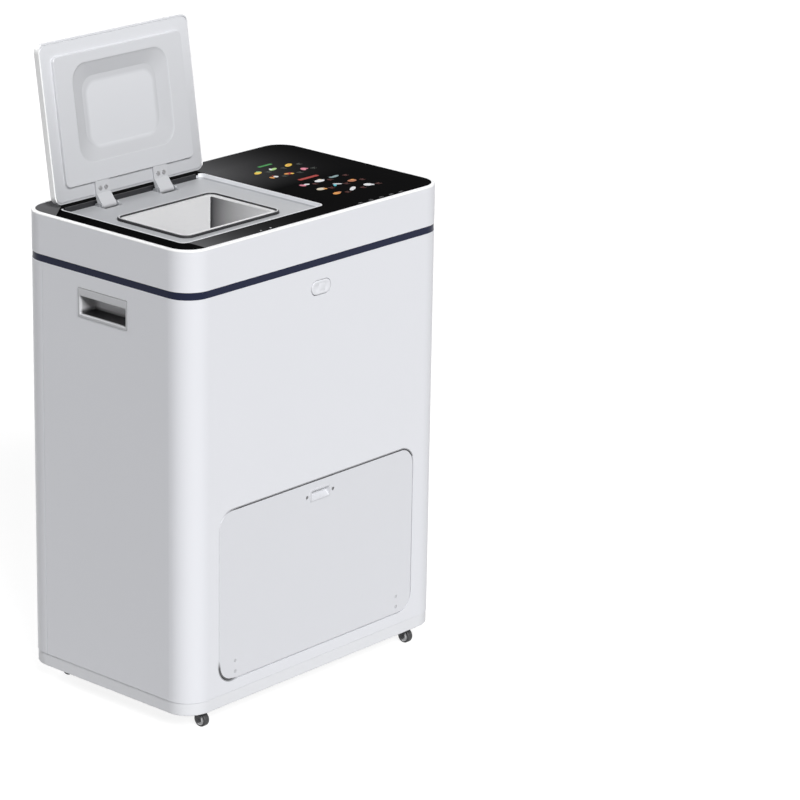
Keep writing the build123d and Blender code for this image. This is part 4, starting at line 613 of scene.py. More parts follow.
class COMPOSTER_OT_drawer_front(Maker, bpy.types.Operator):
    """Finish the front shell and the drawer, with painted shade in the gap between them"""

    bl_idname = "composter.drawer_front"
    bl_label = "Drawer front"

    def make(self, colours, sizes):
        # Painted shade round the drawer's gap, on the drawer's edge and on the shell just outside it: strong
        # above the drawer, heavy at its low left corner and faint elsewhere
        low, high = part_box("drawer_front")
        middle, half = (low + high) / 2, (high - low) / 2
        top_strip, side_gap, side_fade = 14 * MM, 2 * MM, 30 * MM
        corner_size, corner_fade, faint = 34 * MM, 12 * MM, 0.12
        for name, tone in (("front_shell", 1.0), ("drawer_front", 0.92)):
            panel = casing_satin(name, shade(colours.casing, tone))
            across, up = panel.along(RIGHT, middle), panel.along(UP, middle)
            edge = panel.outline(across, up, half.x, half.z, sizes.drawer_radius)
            over = up.above(half.z - top_strip) * ((across + half.x - side_gap) / side_fade).held()
            corner = (across + half.x).most(up + half.z)
            heavy = ((corner_size - corner) / corner_fade).held()
            if name == "drawer_front":
                shade_width, heavy_shade_width = 1.0 * MM, 1.4 * MM
                mask = (edge + heavy * heavy_shade_width).above(-shade_width) * over.most(heavy).most(faint)
            else:
                start, end, weight = 0.1 * MM, 2.2 * MM, 0.6
                mask = edge.above(start) * edge.below(end) * over.most(heavy) * weight
            panel.fade(mask, (0.10, 0.10, 0.108)).dress(name)


class COMPOSTER_OT_glass_top(Maker, bpy.types.Operator):
    """Finish the back-printed glass top"""

    bl_idname = "composter.glass_top"
    bl_label = "Glass top"

    def make(self, colours, sizes):
        glass = Finish("printed_glass", IOR=1.012)
        smudge = glass.noise(22.0, 5.0, 0.6)
        dust = ((glass.noise(900.0, 1.0) - 0.74) * 18.0).held()
        # Painted reflection: the glass turns grey along the front strip, over the display and at the rear
        # left corner
        painted_reflection = glass.blend(self.painted_reflection(glass), colours.glass, (0.135, 0.135, 0.14))
        glass.colour(dust * 0.25, painted_reflection, (0.05, 0.05, 0.055))
        glass.set("Roughness", ((smudge - 0.45) * 0.22 + dust * 0.2).held() + 0.05)
        glass.bump(smudge, 0.002 * MM)
        glass.dress("glass_panel")

    def painted_reflection(self, glass):
        """A mask of painted reflection that fades from grey to black, at the front and the rear corners."""
        x, y = glass.axes()[:2]
        strip_left, strip_length, strip_rear = -208.5 * MM, 330 * MM, -117 * MM
        strip_softness = 1.2 * MM
        fade = (1 - (x - strip_left) / strip_length).held()
        strip = fade**4 * (1 - y.above(strip_rear)) * ((x - strip_left) / strip_softness).held()
        display_left, display_front = 47 * MM, -20 * MM
        fade_left, fade_width, fade_depth = 50 * MM, 200 * MM, 120 * MM
        display = (1 - (x - fade_left) / fade_width).held() ** 2
        display = display * ((y - display_front) / fade_depth).held() * x.above(display_left)
        corner_place, corner_slant, corner_right = (-0.1983, 0.1235, 0), (-0.623, 0.782, 0), -150 * MM
        corner = glass.along(corner_slant, corner_place).above(0.0) * x.below(corner_right)
        return (strip + display * 0.7).most(corner * 0.9).held()


class COMPOSTER_OT_deck(Maker, bpy.types.Operator):
    """Finish the moulded deck, the black mouldings and the boards"""

    bl_idname = "composter.deck"
    bl_label = "Deck"

    def make(self, colours, sizes):
        wall_foot, wall_fade, rear_strip = 0.3 * MM, 0.6 * MM, 8.5 * MM
        deck = moulded("deck_satin", colours.deck, 0.38, 0.012, 0.02)
        # Painted highlight: the deck's rim and walls above the throat's top are painted pale
        above_seat = deck.along(UP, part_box("feed_throat")[1]) - wall_foot
        deck.fade((above_seat / wall_fade).held(), (0.86, 0.87, 0.90))
        # Painted shade: a strip along the deck's rear, under the lid's hinge, is painted near-black
        before_rear = deck.along(BACK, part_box("inlet_deck")[1])
        deck.fade(before_rear.above(-rear_strip), (0.008, 0.008, 0.009))
        deck.dress("inlet_deck")
        black = moulded("black_moulding", (0.012, 0.012, 0.014), 0.35, 0.015, 0.2)
        black.dress("hinge_cover", "power_inlet", "fan_housing")
        grey = moulded("button_housing_grey", (0.42, 0.42, 0.44), 0.4, 0.015, 0.05)
        grey.dress("button_housing")
        board = Finish("solder_mask", Coat_Roughness=0.15, Coat_Weight=0.4)
        x, y = board.axes()[:2]
        lanes = x.lines(4.2 * MM, 2.1 * MM, 3.2 * MM).most(y.lines(6.1 * MM, 3.0 * MM, 5.0 * MM))
        tracks = lanes * board.noise(55.0, 1.0).above(0.52)
        board.colour(tracks, (0.012, 0.09, 0.04), (0.03, 0.20, 0.09))
        board.set("Roughness", tracks * 0.12 + 0.3)
        board.bump(tracks, 0.04 * MM)
        board.dress("control_board", "main_board")


class COMPOSTER_OT_metalwork(Maker, bpy.types.Operator):
    """Finish the stainless chamber and throat, the brackets, the pins and the screws"""

    bl_idname = "composter.metalwork"
    bl_label = "Metalwork"

    def make(self, colours, sizes):
        self.throat().dress("feed_throat")
        upright = brushed("stainless_upright", colours.steel, 0.24, (1, 1, 60), 0.006)
        upright.dress("chamber", "discharge_chute")
        flat = brushed("stainless_flat", colours.steel, 0.3, (60, 1, 1))
        flat.dress("discharge_gate", "stir_paddles")
        spun = brushed("turned_steel", (0.60, 0.60, 0.61), 0.25, (90, 1, 1))
        spun.dress("hinge_pins", "stir_shaft", "motor_pinion")
        plated = brushed("plated_screws", (0.48, 0.48, 0.49), 0.3, (1, 60, 1))
        plated.dress("cover_screws", "lid_screws")
        heads = Finish("drawer_screw_heads", Metallic=0.2, Roughness=0.4)
        z = heads.axes()[2]
        grain = heads.noise(700.0, 2.0)
        grip_screws = z.above(200 * MM)
        heads.colour(grip_screws, shade(colours.casing, 0.72), (0.16, 0.16, 0.165))
        heads.fade(grain * 0.2, (0.3, 0.3, 0.31))
        heads.bump(grain, 0.01 * MM)
        heads.dress("drawer_screws")
        zinc = Finish("zinc_plate", Metallic=0.85)
        spangle = zinc.cells(160.0)
        streak = zinc.noise(40.0, 4.0, 0.6)
        crystals = spangle * 0.6 + streak * 0.4
        zinc.colour(crystals, (0.42, 0.43, 0.45), (0.62, 0.63, 0.65))
        zinc.set("Roughness", spangle * 0.2 + streak * 0.1 + 0.3)
        zinc.bump(spangle, 0.01 * MM)
        brackets = ("hinge_brackets", "motor_bracket", "drawer_rails", "caster_plates", "inner_frame")
        zinc.dress(*brackets)

    def throat(self):
        """Bright satin steel with painted shade on its right wall, darkest towards the rear."""
        wall, below_rim, end = 12.5 * MM, 1.7 * MM, 10.5 * MM
        satin = brushed("stainless_satin", (0.93, 0.93, 0.94), 0.34, (1, 1, 60), 0.006)
        satin.set("Metallic", 0.25)
        low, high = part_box("inlet_seal")
        x, y, z = satin.axes()
        side = x.above(high.x - wall) * z.below(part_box("feed_throat")[1].z - below_rim)
        forward = ((high.y - end - y) / (high.y - low.y - 2 * end)).held()
        return satin.fade(side * (1 - forward) * (1 - forward * 0.4), (0.03, 0.03, 0.033))


class COMPOSTER_OT_machinery(Maker, bpy.types.Operator):
    """Finish the drive, the air path and the drawer's inside"""

    bl_idname = "composter.machinery"
    bl_label = "Machinery"

    def make(self, colours, sizes):
        painted("motor_paint", (0.06, 0.065, 0.07), 0.42).dress("gearmotor", "gate_actuator")
        moulded("natural_nylon", (0.74, 0.71, 0.60), 0.4, 0.02, 0.05).dress("drive_gear")
        bearing = moulded("bearing_resin", (0.80, 0.80, 0.76), 0.35, 0.01, 0.03)
        bearing.dress("shaft_bearings", "drawer_runners")
        duct = moulded("duct_grey", (0.20, 0.205, 0.22), 0.5, 0.04, 0.06)
        duct.dress("exhaust_duct", "filter_housing")
        moulded("bin_grey", (0.27, 0.28, 0.30), 0.46, 0.05, 0.05).dress("drawer_bin")
        gloss = moulded("rocker_gloss", (0.016, 0.016, 0.016), 0.16, 0.004, 0.15, Coat_Roughness=0.05)
        gloss.set("Coat Weight", 0.3).dress("switch_rocker")
        brushed("supply_case", (0.66, 0.67, 0.68), 0.4, (40, 1, 1)).dress("power_supply")
        mat = Finish("heater_mat", Roughness=0.7)
        z = mat.axes()[2]
        wires = z.lines(7 * MM, 3.5 * MM, 5.2 * MM)
        weave = mat.noise(900.0, 2.0)
        glow = (wires * 0.6 + weave * 0.4).held()
        mat.colour(glow, (0.36, 0.07, 0.03), (0.58, 0.16, 0.07))
        mat.bump(wires + weave * 0.3, 0.25 * MM)
        mat.dress("heater_pads")
        fleece = Finish("carbon_fleece", Roughness=0.95)
        pores = fleece.cells(420.0)
        lumps = (pores + fleece.noise(60.0, 4.0) * 0.4).held()
        fleece.colour(lumps, (0.012, 0.012, 0.013), (0.07, 0.07, 0.072))
        fleece.bump(pores, 0.9 * MM)
        fleece.dress("filter_cartridge")
        forks = moulded("fork_black", (0.03, 0.03, 0.033), 0.4, 0.03, 0.15)
        forks.dress(*[name for name in NODES if name.startswith("caster_fork")])
        moulded("arm_grey", shade(colours.hardware, 1.25), 0.36, 0.01, 0.03).dress("lid_arms")


class COMPOSTER_OT_lid_panel(Maker, bpy.types.Operator):
    """Mould the lid's inner panel with its step and its soft dish"""

    bl_idname = "composter.lid_panel"
    bl_label = "Lid panel"

    margin = 18
    dish_margin, dish_radius, dish_lift = (95.4, 75.4), 24.0, 6
    rim_drop, dish_depth, dish_slope = 0.3, 8.0, 26.0

    def make(self, colours, sizes):
        centre, along, _, width, height = lid_frame()
        wide, tall = width - self.dish_margin[0], height - self.dish_margin[1]
        sections = stepped(width, height, self.edge()) + stepped(wide, tall, self.dish(), (0, self.dish_lift))
        bm = bmesh.new()
        moulding(bm, sections, stand(centre, RIGHT, along), 8)
        panel = moulded("lid_panel_satin", colours.lid_panel, 0.36, 0.008, 0.012)
        across, up = panel.along(RIGHT, centre), panel.along(along, centre)
        half_width, half_height = (width / 2 - self.margin) * MM, (height / 2 - self.margin) * MM
        raised = panel.outline(across, up, half_width, half_height, 7 * MM).below(0.0)
        panel.fade(raised, shade(colours.lid_panel, 0.91))
        # Painted shade on the dish's slope, whose floor is then lifted back almost to the panel's tone
        lifted = up - self.dish_lift * MM
        dish = panel.outline(across, lifted, wide / 2 * MM, tall / 2 * MM, self.dish_radius * MM)
        panel.fade(dish.below(0.0), shade(colours.lid_panel, 0.80))
        floor_shift, floor_width, floor_height, floor_radius = (1.0, 0.5), 60.5 * MM, 43.5 * MM, 18 * MM
        across, up = across - floor_shift[0] * MM, up - floor_shift[1] * MM
        floor = panel.outline(across, up, floor_width, floor_height, floor_radius)
        softness = 5 * MM
        panel.fade((0.5 - floor / softness).held(), shade(colours.lid_panel, 0.98))
        # Painted shade that darkens the panel towards the lid's low end, less on the raised face
        panel.fade(low_end(panel) * (0.7 - raised * 0.3), shade(colours.lid_panel, 0.5))
        body = JOINTS["lid_hinge"]["child"]
        add_piece("lid_inner_panel", bm, (panel,), body, "lid_liner", 28)

    def edge(self):
        """Steps from the panel's outer edge over its flange and up to the raised face."""
        flange = -4.0
        steps = [(0, 0, 10.0, -6.0), (0, 0, 10.0, -4.5), (1, 1, 9.5, flange), (2.5, 2.5, 8.8, flange)]
        steps += [(30, 30, 8.0, flange), (33, 33, 7.0, flange)]
        for inward, upward in corner_steps(3):
            trim = 34.4 + 2 * inward
            steps.append((trim, trim, 7.0, flange + 0.4 + 3.6 * upward))
        return steps + [(38, 38, 6.0, 0.0)]

    def dish(self):
        """Steps of the dish: a sharp rim, an even slope and a soft turn into its floor."""
        steps = []
        for outward, drop in ((6.0, 0.0), (1.6, 0.0), (0.6, 0.08), (0.0, self.rim_drop)):
            steps.append((-outward, -outward, self.dish_radius + outward / 2, -drop))
        count, overrun, turn_in = 12, 1.1, 0.78
        for step in range(1, count + 1):
            share = overrun * step / count
            sunk = min(share - 1.4 * max(share - turn_in, 0) ** 2, 1.0)
            trim, radius = 2 * self.dish_slope * share, self.dish_radius - 5 * share
            rise = -self.rim_drop - (self.dish_depth - self.rim_drop) * sunk
            steps.append((trim, trim, radius, rise))
        return steps + [(trim + 6, trim + 6, radius - 2, rise)]


class COMPOSTER_OT_handle_pockets(Maker, bpy.types.Operator):
    """Mould the two handle pockets with their plates"""

    bl_idname = "composter.handle_pockets"
    bl_label = "Handle pockets"

    def make(self, colours, sizes):
        low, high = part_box("handle_cups")
        width, height, depth = (
            size / MM for size in (sizes.handle_width, sizes.handle_height, sizes.handle_depth)
        )
        opening, shift = (width - 6, height - 15), (0, -3.5)
        sections = stepped(
            *opening, [(2, 1, 3.0, -depth), (-3.4, -3.4, 3.4, 2.5 - depth), (-3.6, -3.6, 3.4, 0.05)], shift
        )
        plate = [(0, 0, 1.6, 0.05), (0, 0, 1.6, 0.45), (0.5, 0.5, 1.4, 0.75), (1.2, 1.2, 1.2, 0.8)]
        sections += stepped(width, height, plate)
        inside = [(-0.8, -0.8, 2.2, 0.8), (0, 0, 1.8, 0.3), (2.4, 1.6, 2.6, 5.0 - depth)]
        inside += [(5.5, 4.4, 3.4, 2.2 - depth), (9, 8, 3.0, 1.8 - depth)]
        sections += stepped(*opening, inside, shift)
        grey = self.grey(colours)
        edge_low, edge_high, above = 0.06, 0.44, 10
        for side, name in ((-1, "handle_pocket_left"), (1, "handle_pocket_right")):
            face = side * (high.x - 0.8 * MM)
            place = stand((face, 0, (low.z + high.z) / 2), (0, side, 0), UP)
            bm = bmesh.new()
            moulding(bm, sections, place, 4)
            # Painted shade: the plate's side faces along its top take a dark finish
            second_finish(bm, place, lambda spot: edge_low < spot.z < edge_high and spot.y > above)
            edge = moulded(name + "_edge", shade(colours.hardware, 0.35), 0.5, 0.01, 0.05)
            add_piece(name, bm, (grey, edge), "cabinet", "handle_cups")

    def grey(self, colours):
        """Grey plastic with painted light and shade: painted shade on its top and front brinks, a painted
        lift that makes the inside pale, and painted shadow that makes the floor black.
        """
        low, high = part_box("handle_cups")
        grey = Finish("handle_grey")
        x, y, z = grey.axes()
        grain = grey.noise(700.0, 2.0)
        grey.colour(grain, shade(colours.hardware, 1.42), shade(colours.hardware, 1.5))
        brink_width, face, floor_top = 0.9 * MM, 244.5 * MM, low.z + 11 * MM
        shaded_brink = z.above(high.z - brink_width).most(y.below(low.y + brink_width) * 0.7)
        grey.fade(shaded_brink, shade(colours.hardware, 0.6))
        # Painted light: the inside is lifted to a pale grey
        inward = ((face - x.size()) / (4 * MM)).held()
        grey.fade(inward, (0.96, 0.96, 0.98))
        # Painted shade towards the pocket's ends
        near_end = ((y.size() - 28 * MM) / (12 * MM)).held()
        grey.fade(inward * near_end * 0.9, (0.30, 0.30, 0.31))
        # Painted shadow makes the pocket's floor black
        floor_shadow = ((floor_top - z) / (5 * MM)).held()
        grey.fade(floor_shadow * inward, (0.006, 0.006, 0.007))
        grey.set("Roughness", (grain - 0.5) * 0.1 + 0.42)
        grey.bump(grey.noise(2400.0, 2.0), 0.01 * MM)
        return grey


class COMPOSTER_OT_start_button(Maker, bpy.types.Operator):
    """Mould the pill-shaped start button"""

    bl_idname = "composter.start_button"
    bl_label = "Start button"

    def make(self, colours, sizes):
        place = facing_front("front_button", 0.6 * MM)
        width, height = sizes.button_width / MM, sizes.button_height / MM
        stem, end = 9.0, height / 2 - 0.02
        sections = stepped(stem, stem, [(0, 0, 3.5, -13.4), (0, 0, 3.5, -3.6)])
        steps = [(2, 2, end - 1, -3.4), (0, 0, end, -3.0), (0, 0, end, -0.4)]
        for inward, upward in corner_steps(3):
            trim = 1.2 * inward
            steps.append((trim, trim, end - trim / 2, -0.2 + 0.8 * upward))
        steps += [(8, 8, end - 4, 0.6), (10, 8.6, end - 4.3, 0.42)]
        sections += stepped(width, height, steps)
        bm = bmesh.new()
        moulding(bm, sections, place, 10)
        pad, pad_middle = 11.0, (1.5, 0)
        steps = [(0, 0, 1.2, 0.3), (0, 0, 1.2, 0.5), (0.6, 0.6, 0.9, 0.6)]
        moulding(bm, stepped(pad, pad, steps, pad_middle), place, 3)
        # Painted shade: the button's sides inside the gap take a grey finish
        skirt_top = -0.1
        second_finish(bm, place, lambda spot: spot.z < skirt_top)
        cap = moulded("button_satin", shade(colours.casing, 0.99), 0.34, 0.008, 0.012)
        skirt = moulded("button_skirt", (0.55, 0.55, 0.57), 0.5, 0.01, 0.05)
        add_piece("start_button", bm, (cap, skirt), "button", "front_button")


class COMPOSTER_OT_return_spring(Maker, bpy.types.Operator):
    """Wind the start button's return spring"""

    bl_idname = "composter.return_spring"
    bl_label = "Return spring"

    def make(self, colours, sizes):
        low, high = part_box("button_spring")
        centre = (low + high) / 2
        turns, steps_per_turn, wire, sides = 4, 24, 0.4 * MM, 8
        coil_radius = (high.x - low.x) / 2 - wire
        start = Matrix.Translation((centre.x + coil_radius, low.y + wire, centre.z))
        bm = bmesh.new()
        ring = bmesh.ops.create_circle(bm, cap_ends=False, radius=wire, segments=sides)["verts"]
        bmesh.ops.transform(bm, matrix=start, verts=ring)
        edges = list({edge for vert in ring for edge in vert.link_edges})
        steps = steps_per_turn * turns
        bmesh.ops.spin(
            bm,
            geom=list(ring) + edges,
            cent=centre,
            axis=BACK,
            dvec=(0, (high.y - low.y - 2 * wire) / steps, 0),
            angle=2 * math.pi * turns,
            steps=steps,
            use_merge=False,
        )
        ends = [edge for edge in bm.edges if edge.is_boundary]
        bmesh.ops.holes_fill(bm, edges=ends, sides=sides)
        wound = brushed("spring_wire", (0.60, 0.60, 0.61), 0.25, (1, 60, 1))
        spring = add_piece("return_spring", bm, (wound,), "cabinet", "button_spring")
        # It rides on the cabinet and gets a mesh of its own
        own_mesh(spring)


class COMPOSTER_OT_drawer_grip(Maker, bpy.types.Operator):
    """Mould the drawer's fingertip grip"""

    bl_idname = "composter.drawer_grip"
    bl_label = "Drawer grip"

    def make(self, colours, sizes):
        width, height = sizes.grip_width / MM, sizes.grip_height / MM
        steps = [(2, 2, 2.4, -8.0), (0, 0, 2.0, -7.0), (0, 0, 2.0, 0.04)]
        steps += [(-3, -3, 2.6, 0.04), (-3, -3, 2.6, 0.3), (-2.4, -2.4, 2.4, 0.6)]
        steps += [(1.4, 1.4, 1.8, 0.6), (2, 2, 1.6, 0.25)]
        sections = stepped(width, height, steps)
        sections += stepped(width, height, [(3, 3.4, 1.8, -1.0)], (0, 0.6))
        sections += stepped(width, height, [(5, 7.4, 1.6, -3.6)], (0, 2.5))
        slot_height = 2.8
        sections += stepped(width, slot_height, [(7, 0, 1.2, -6.2)], (0, height / 2 - 2.7))
        bm = bmesh.new()
        moulding(bm, sections, facing_front("drawer_pull", 0.6 * MM), 5)
        # Painted shade: the grip is a darker copy of the casing, which tones down its upturned scoop
        grip = moulded("grip_satin", shade(colours.casing, 0.82), 0.4, 0.01, 0.012)
        add_piece("drawer_grip", bm, (grip,), "drawer", "drawer_pull")


class COMPOSTER_OT_caster_wheels(Maker, bpy.types.Operator):
    """Turn the four caster wheels with their treads and hubs"""

    bl_idname = "composter.caster_wheels"
    bl_label = "Caster wheels"

    def make(self, colours, sizes):
        tread = Finish("wheel_tread")
        scuff = tread.noise(260.0, 5.0, 0.7)
        tread.colour(scuff, (0.018, 0.018, 0.019), (0.075, 0.075, 0.078))
        tread.set("Roughness", scuff * 0.3 + 0.45)
        tread.bump(scuff, 0.1 * MM)
        hub = moulded("wheel_hub", (0.50, 0.50, 0.51), 0.4, 0.02, 0.04)
        bore, boss, tread_depth = 1.55, 3.4, 2.8
        for name in [found for found in NODES if found.startswith("caster_wheel")]:
            low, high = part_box(name)
            radius, half = (high.z - low.z) / 2 / MM, (high.x - low.x) / 2 / MM
            side = [(bore, 0), (boss, 0), (boss + 0.5, 0.7), (radius - 3.2, 1.1), (radius - 2.4, 0.1)]
            side += [(radius - 1.4, 0), (radius - 0.5, 0.35), (radius, 1.3)]
            profile = [(away, inward - half) for away, inward in side]
            profile += [(away, -rise) for away, rise in reversed(profile)]
            place = stand((low + high) / 2, BACK, UP)
            bm = bmesh.new()
            turned(bm, profile, place)
            second_finish(bm, place, lambda spot: math.hypot(spot.x, spot.y) < radius - tread_depth)
            corner = name.replace("caster_", "")
            add_piece(corner, bm, (tread, hub), corner, name, 25)


class COMPOSTER_OT_throat_seal(Maker, bpy.types.Operator):
    """Mould the soft seal round the throat, with its light bead"""

    bl_idname = "composter.throat_seal"
    bl_label = "Throat seal"

    def make(self, colours, sizes):
        low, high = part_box("inlet_seal")
        place = on_foot("inlet_seal")
        width, depth, tall = (high - low) / MM
        outer = [(0, -1.6), (0.3, -1.0), (0.9, -0.8), (1.1, -0.3), (1.5, 0.0)]
        foot = 4.0
        profile = [(0, -tall)] + outer
        profile += [(foot - inward, rise) for inward, rise in reversed(outer)]
        profile += [(foot, -tall), (0, -tall)]
        steps = [
            (2 * inward, 2 * inward, sizes.seal_radius / MM - inward, tall + rise) for inward, rise in profile
        ]
        bm = bmesh.new()
        moulding(bm, stepped(width, depth, steps), place, 10, closed=True)
        bead_height = 0.5
        second_finish(bm, place, lambda spot: spot.z > tall - bead_height)
        rubber = rubbery("seal_rubber", colours.seal, 0.6)
        bead = moulded("seal_bead", (0.66, 0.665, 0.68), 0.4, 0.01, 0.03)
        add_piece("throat_seal", bm, (rubber, bead), "cabinet", "inlet_seal")


class COMPOSTER_OT_fan_impeller(Maker, bpy.types.Operator):
    """Shape the extractor fan's impeller with curved blades"""

    bl_idname = "composter.fan_impeller"
    bl_label = "Fan impeller"

    def make(self, colours, sizes):
        low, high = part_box("fan_rotor")
        tall = (high.z - low.z) / MM
        hub = on_foot("fan_rotor")
        bore, hub_radius = 2.0, 14.0
        profile = [(bore, 0), (hub_radius - 0.8, 0), (hub_radius, 0.8), (hub_radius, tall - 2)]
        profile += [(hub_radius - 1.5, tall), (bore, tall)]
        bm = bmesh.new()
        turned(bm, profile, hub)
        blades, slices, root, tip, chord, thickness = 7, 5, 13.0, 35.4, 13.0, 1.4
        for blade in range(blades):
            places = []
            for step in range(slices + 1):
                share = step / slices
                sweep = rotated(360 * blade / blades, "Z") @ rotated(16 * share * share, "Z")
                lift = Matrix.Translation(Vector((root + (tip - root) * share, 0, tall / 2)) * MM)
                pitch = rotated(52 - 24 * share, "X") @ rotated(90, "Y")
                wide = Matrix.Diagonal((1, 1 + 7.0 / chord * share, 1, 1))
                places.append(hub @ sweep @ lift @ pitch @ wide)
            ring = rounded_ring(bm, thickness * MM, chord * MM, 0.6 * MM, places[0], 3)
            swept(bm, ring, places)
        plastic = moulded("fan_black", (0.02, 0.02, 0.022), 0.38, 0.02, 0.15)
        body = JOINTS["fan_spin"]["child"]
        add_piece("fan_impeller", bm, (plastic,), body, "fan_rotor")


# Inks by name
INKS = {
    "yellow": (0.78, 0.52, 0.06),
    "pale_green": (0.36, 0.60, 0.22),
    "amber": (0.72, 0.30, 0.06),
    "pink": (0.70, 0.22, 0.30),
    "red": (0.33, 0.020, 0.012),
    "cyan": (0.06, 0.42, 0.50),
    "white": (0.75, 0.76, 0.78),
    "slate": (0.22, 0.32, 0.33),
    "brown": (0.40, 0.14, 0.06),
    "cream": (0.70, 0.62, 0.48),
    "grey": (0.07, 0.08, 0.07),
    "green": (0.025, 0.24, 0.045),
    "dim_red": (0.12, 0.03, 0.025),
}
# Each food icon: its middle on the glass, then ovals of middle, width, height, turn in degrees and ink
SORTED_FOOD = (
    ((98, 54.5), ((0, 0, 11, 6, 20, "yellow"), (3, 2.4, 5, 3, -30, "pale_green"))),
    ((127, 54), ((0, 0, 11, 5, 15, "pale_green"), (-2, 1.6, 5, 3, 60, "white"))),
    ((157.5, 54.5), ((0, 0, 12, 6, 25, "yellow"), (0, 0, 7, 2.4, 25, "amber"))),
    ((156.5, 26), ((0, 0, 5, 8, -20, "pink"), (3.2, 1, 3, 7, 30, "pink"))),
    ((126.5, 23.5), ((0, 0, 9, 6, 0, "red"), (-3, 1, 5, 4, 0, "amber"), (2, -2, 4, 3, 0, "yellow"))),
    ((98.5, 25), ((-3, 0, 4, 6, 0, "amber"), (2.4, 0, 5, 5, 0, "white"), (2, 3.4, 3, 2, 0, "red"))),
)
REFUSED_FOOD = (
    ((159.5, -29.5), ((0, 0, 11, 4.5, 10, "slate"), (-5, 0, 4, 5, 45, "slate"))),
    ((160, -60), ((0, 0, 10, 7, 0, "brown"), (2.4, 2, 4, 3, 0, "amber"))),
    ((128, -30.5), ((0, 0, 12, 7, 0, "white"), (3, 2.4, 4, 4, 0, "cream"))),
    ((129, -59.5), ((-1.4, 0, 9, 3, 45, "cyan"), (3, 1.2, 9, 3, -40, "white"))),
    ((160, -88.5), ((0, 0, 9, 8, 0, "white"), (3, -3, 4, 4, 0, "white"))),
    ((98, -31), ((-2.4, 0, 5, 7, 20, "pink"), (3, 0, 6, 4, -20, "white"))),
    ((99, -60), ((0, 0, 10, 7, 0, "cream"), (3.6, -2, 4, 4, 0, "amber"))),
    ((130.5, -88), ((0, 0, 11, 5, 30, "white"), (-4, -2.4, 4, 4, 0, "white"), (4, 2.4, 4, 4, 0, "white"))),
    ((98.5, -89), ((0, 0, 10, 6, 10, "amber"), (4.4, 1, 4, 4, 0, "brown"))),
)


def on_glass(x, y):
    """A frame on the glass at a place in millimetres."""
    return Matrix.Translation((x * MM, y * MM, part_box("glass_panel")[1].z))


def fresh_faces(bm, known, number):
    """Gives the faces that weren't known the ink of a number."""
    for face in set(bm.faces) - known:
        face.material_index = number


def print_oval(bm, place, size, turn, thick, number):
    """A flat oval of ink that stands on the glass."""
    known = set(bm.faces)
    disc = bmesh.ops.create_circle(bm, cap_ends=True, radius=0.5, segments=20)["verts"]
    place = place @ rotated(turn, "Z") @ Matrix.Diagonal((size[0] * MM, size[1] * MM, 1, 1))
    bmesh.ops.transform(bm, matrix=place, verts=disc)
    faces = [face for face in bm.faces if face not in known]
    made = bmesh.ops.extrude_face_region(bm, geom=faces, use_keep_orig=True)["geom"]
    raised = [item for item in made if isinstance(item, bmesh.types.BMVert)]
    bmesh.ops.translate(bm, vec=(0, 0, thick), verts=raised)
    fresh_faces(bm, known, number)


def print_bar(bm, place, size, thick, number=0, radius=0.4):
    """A flat rounded bar of ink that stands on the glass."""
    known = set(bm.faces)
    moulding(bm, stepped(*size, [(0, 0, radius, 0), (0, 0, radius, thick / MM)]), place, 3)
    fresh_faces(bm, known, number)


class COMPOSTER_OT_food_icons(Maker, bpy.types.Operator):
    """Print the food icons and their headings on the glass"""

    bl_idname = "composter.food_icons"
    bl_label = "Food icons"

    def make(self, colours, sizes):
        thick, drawn_size, layer_rise = sizes.print_thickness, 12, 0.3
        scale = sizes.icon_size / MM / drawn_size
        numbers = {name: number for number, name in enumerate(INKS)}
        bm = bmesh.new()
        for order, (middle, ovals) in enumerate(SORTED_FOOD + REFUSED_FOOD):
            for layer, (x, y, wide, tall, turn, colour) in enumerate(ovals):
                place = on_glass(middle[0] + x * scale, middle[1] + y * scale)
                rise = thick * (1 + layer_rise * layer)
                print_oval(bm, place, (wide * scale, tall * scale), turn, rise, numbers[colour])
            # Three short bars stand for words, and their lengths vary from icon to icon
            word = numbers["grey" if order < len(SORTED_FOOD) else "dim_red"]
            bars = [(14.5, -3.5, 9 - order % 3, 0.9), (13.7, -6.1, 7 - order % 2, 0.8)]
            bars.append((14.9, -8.5, 8 - order % 2, 0.7))
            for across, up, wide, tall in bars:
                print_bar(bm, on_glass(middle[0] + across, middle[1] + up), (wide, tall), thick, word)
        print_bar(bm, on_glass(133, 75), (26, 5.0), thick, numbers["green"], 1.4)
        print_bar(bm, on_glass(129, -9), (37, 6.4), thick, numbers["red"], 1.6)
        inks = [ink(name, colour) for name, colour in INKS.items()]
        add_piece("food_icons", bm, inks, "cabinet")


class COMPOSTER_OT_touch_keys(Maker, bpy.types.Operator):
    """Print the touch keys along the front of the glass"""

    bl_idname = "composter.touch_keys"
    bl_label = "Touch keys"

    def make(self, colours, sizes):
        row, line = -143.2, sizes.print_thickness / MM
        outer = stepped(7.0, 3.4, [(0, 0, 1.6, 0), (0, 0, 1.6, line)])
        inner = stepped(5.9, 2.4, [(0, 0, 1.1, line), (0, 0, 1.1, 0)])
        bm = bmesh.new()
        for x in (85, 105.5, 126, 145.5, 165):
            place = on_glass(x, row)
            moulding(bm, outer + inner + outer[:1], place, 4, closed=True)
            print_bar(bm, place, (2.6, 0.7), sizes.print_thickness, radius=0.3)
        grey = ink("key_grey", (0.16, 0.16, 0.165))
        add_piece("touch_keys", bm, (grey,), "cabinet")


